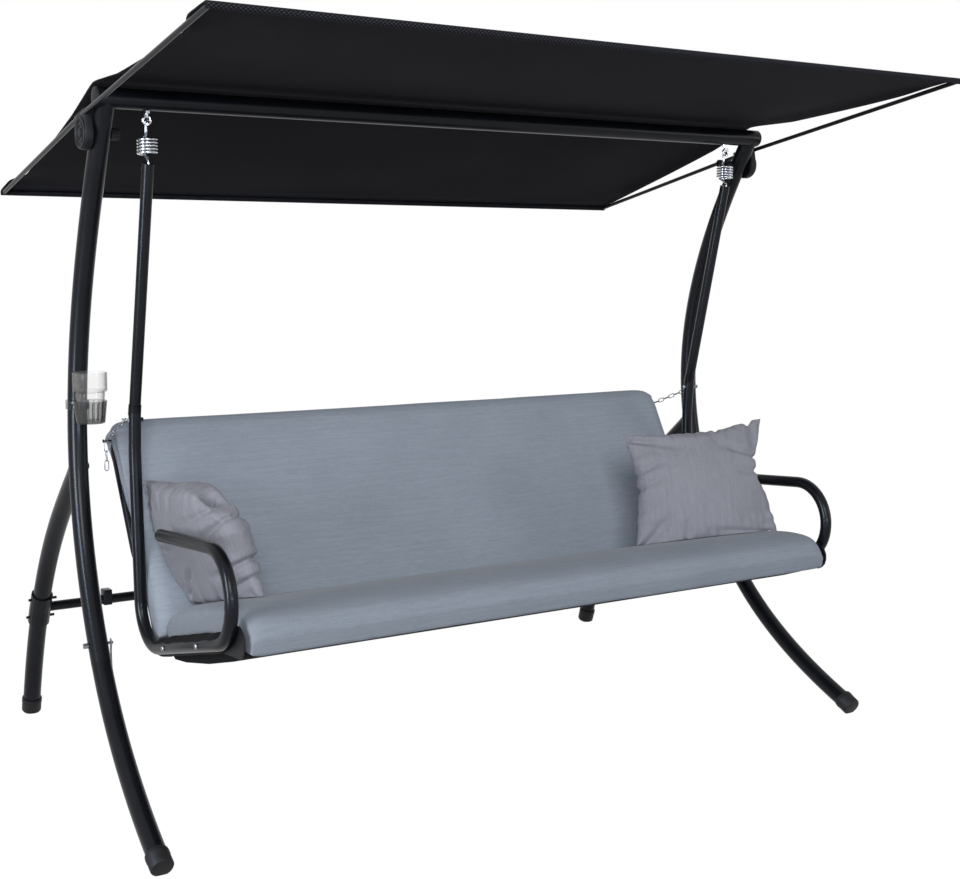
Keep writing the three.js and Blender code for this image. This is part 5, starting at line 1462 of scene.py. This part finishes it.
@dataclass
class DrinkHolder:
    """The clip-on holder on the left front leg and the tumbler in it."""

    dresser: Dresser
    cup_radii: Pair = (0.036, 0.0425)
    cup_height: float = 0.058
    tumbler_radii: Pair = (0.0435, 0.0324)
    wall: float = 0.0016
    ribs: int = 18
    clip: Pair = (0.0252, 0.0302)
    clip_span: Pair = (0.030, 0.054)
    leg_away: Vector = field(default_factory=lambda: Vector((-0.011, 0.0745, 0)))

    def dress(self) -> None:
        """Builds the tumbler and the holder."""
        low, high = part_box("tumbler")
        centre = Vector(((low.x + high.x) / 2, (low.y + high.y) / 2, low.z))
        height = high.z - low.z
        top, foot = self.tumbler_radii
        step = height * 0.6
        middle = foot + (top - foot) * 0.45
        t = self.wall
        profile = [(0, 0.002), (foot * 0.8, 0.002), (foot * 0.86, 0), (foot - 0.002, 0), (foot, 0.002),
                   (middle, step), (top - 0.001, step + 0.003), (top, step + 0.006), (top, height - 0.001),
                   (top - t / 2, height), (top - t, height - 0.001), (top - t, step + 0.007),
                   (middle - t, step + 0.002), (foot - t, 0.006), (0, 0.006)]
        self.dresser.piece("tumbler_shell", turned(profile, centre, UP, 48), Finish.CLEAR, "tumbler_body",
                           ["tumbler"])
        self.holder(Vector((centre.x, centre.y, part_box("cup_holder")[0].z)))

    def holder(self, foot: Vector) -> None:
        """The ribbed cup, the clip round the leg and the bridge between them."""
        small, large = self.cup_radii
        h = self.cup_height
        cup = turned([(0, 0), (small - 0.0015, 0), (small, 0.0015), (large - 0.0006, h - 0.004), (large, h - 0.0035),
                      (large, h - 0.0005), (large - 0.0005, h), (large - 0.002, h), (small - 0.002, 0.002),
                      (0, 0.002)], foot, UP, 56)
        parts = [cup]
        for out in map(outward, angles(self.ribs)):
            line = [foot + out * (small - 0.0008) + UP * 0.003, foot + out * (large - 0.0016) + UP * (h - 0.004)]
            parts.append(tube(line, 0.0011, 8))
        leg = foot + self.leg_away
        inner, outer = self.clip
        low, high = self.clip_span
        turns = [math.radians(123 + 294 * k / 40) for k in range(41)]
        ring = [leg + UP * low + outward(a) * outer for a in turns]
        ring += [leg + UP * low + outward(a) * inner for a in reversed(turns)]
        parts.append(plate(ring, UP * (high - low), 0.0008))
        parts.append(block((0.015, 0.0084, 0.0192), leg.lerp(foot, 0.57) + UP * (low + high) / 2, 0.001))
        self.dresser.piece("holder_shell", together(*parts), Finish.SMOKY, "stand", ["cup_holder"])


# Studio


@dataclass(frozen=True)
class Lamp:
    """A soft lamp of a width and a height, aimed at a point. A streak lamp is blue and shows in reflections only."""

    name: str
    place: Triple
    aim: Triple
    size: Pair
    power: float
    streak: bool = False

    def hang(self) -> None:
        """Adds the lamp to the scene."""
        light = bpy.data.lights.new(self.name, "AREA")
        light.shape = "RECTANGLE"
        light.energy = self.power
        light.size, light.size_y = self.size
        light.color = (0.6, 0.76, 1.0) if self.streak else WHITE[:3]
        made = placed(self.name, light)
        turn = (Vector(self.aim) - Vector(self.place)).to_track_quat("-Z", "Y").to_matrix().to_4x4()
        made.matrix_world = Matrix.Translation(self.place) @ turn
        made.visible_diffuse = not self.streak


LAMPS = (
    Lamp("key", (-3.3, -6.7, 3.9), (0, 0, 0.75), (2.8, 2.8), 345),
    Lamp("fill", (4.4, -3.7, 2.0), (-0.3, 0, 0.7), (1.8, 1.8), 32),
    Lamp("end", (-4.8, -1.5, 1.3), (-0.7, 0, 0.8), (1.6, 1.6), 78),
    Lamp("side", (-4.4, -1.3, 1.5), (-0.6, 0, 1.1), (0.7, 2.8), 230, True),
    Lamp("low", (-1.2, -5.2, 0.9), (0, 0, 1.6), (3.2, 0.3), 110, True),
    Lamp("back", (0.8, 4.2, 2.2), (0, 0, 0.9), (2.2, 2.2), 10),
)


@dataclass
class Studio:
    """Floor, surround, lamps and the camera."""

    eye: Vector = field(default_factory=lambda: Vector((-2.1290, -3.4468, 1.4185)))
    yaw: float = math.radians(32.42)
    pitch: float = math.radians(-7.90)
    roll: float = math.radians(0.59)
    focal_share: float = 1427 / 960
    sensor: float = 36
    paint: Colour = (0.32, 0.32, 0.32, 1)
    glow: float = 1.228
    shadowless: float = 0.8
    daylight: float = 0.27

    def camera(self) -> None:
        """The camera at the photograph's angle."""
        lens = bpy.data.cameras.new("camera")
        lens.sensor_width = self.sensor
        lens.sensor_fit = "HORIZONTAL"
        lens.lens = self.sensor * self.focal_share
        made = placed("camera", lens)
        ahead = Vector((math.sin(self.yaw) * math.cos(self.pitch), math.cos(self.yaw) * math.cos(self.pitch),
                        math.sin(self.pitch)))
        level = Vector((math.cos(self.yaw), -math.sin(self.yaw), 0))
        above = level.cross(ahead)
        right = level * math.cos(self.roll) + above * math.sin(self.roll)
        up = above * math.cos(self.roll) - level * math.sin(self.roll)
        turn = Matrix((right, up, -ahead)).transposed().to_4x4()
        made.matrix_world = Matrix.Translation(self.eye) @ turn
        bpy.context.scene.camera = made

    def floor(self) -> None:
        """A wide pale floor that keeps the bench's shadow, with a share of an even glow where it is seen."""
        mesh = bmesh.new()
        bmesh.ops.create_grid(mesh, x_segments=1, y_segments=1, size=60)
        made = placed("floor", stored("floor", mesh))
        g = Graph.of("floor_paint")
        made.data.materials.append(g.finish(Base_Color=self.paint, Roughness=0.9, Specular_IOR_Level=0.1))
        g.blend(g.seen() * self.shadowless, g.node("ShaderNodeEmission", None, Color=WHITE, Strength=self.glow))

    def world(self) -> None:
        """A white surround for the camera and reflections, and a plain level of light on the bench."""
        world = bpy.data.worlds.new("surround")
        bpy.context.scene.world = world
        g = Graph(world)
        g.finish(Color=(0.97, 0.985, 1, 1), Strength=self.daylight)
        g.blend(g.seen(), g.node("ShaderNodeBackground", None, Color=WHITE, Strength=1.0))

    def dress(self) -> None:
        """Sets up the studio."""
        bpy.context.scene.view_settings.view_transform = "Standard"
        self.camera()
        self.floor()
        for lamp in LAMPS:
            lamp.hang()
        self.world()


def main() -> None:
    """Builds the bench in order."""
    logging.basicConfig(level=logging.INFO, format="%(message)s")
    dresser = Dresser({finish: finish.look.material() for finish in Finish})
    Studio().dress()
    Stand(dresser).dress()
    HangingGear(dresser).dress()
    Chains(dresser).dress()
    Frames(dresser).dress()
    pads = [seat_pad(dresser), back_pad(dresser)]
    for pad in pads:
        pad.dress()
    filling = Filling()
    blown = filling.blown()
    Pillow(dresser, filling, blown, Side.RIGHT, spot(0.692, -0.200, 0.700), across=Vector((0.420, -0.164, 0.032)),
           up=Vector((0.085, 0.112, 0.316)), slump=(-0.13, -0.05, -0.02, -0.11), waist=(0.05, 0.13, -0.11, 0.0),
           seed=2.0, folds=RIGHT_FOLDS, pads=pads).dress()
    Pillow(dresser, filling, blown, Side.LEFT, spot(-0.818, -0.048, 0.660), across=Vector((-0.034, 0.330, -0.086)),
           up=Vector((-0.084, 0.088, 0.330)), slump=(0.02, 0.1, 0.62, -0.12), waist=(-0.02, 0.03, 0.0, 0.02),
           seed=5.0, folds=LEFT_FOLDS, pads=pads).dress()
    Canopy(dresser).dress()
    DrinkHolder(dresser).dress()


if __name__ == "__main__":
    main()
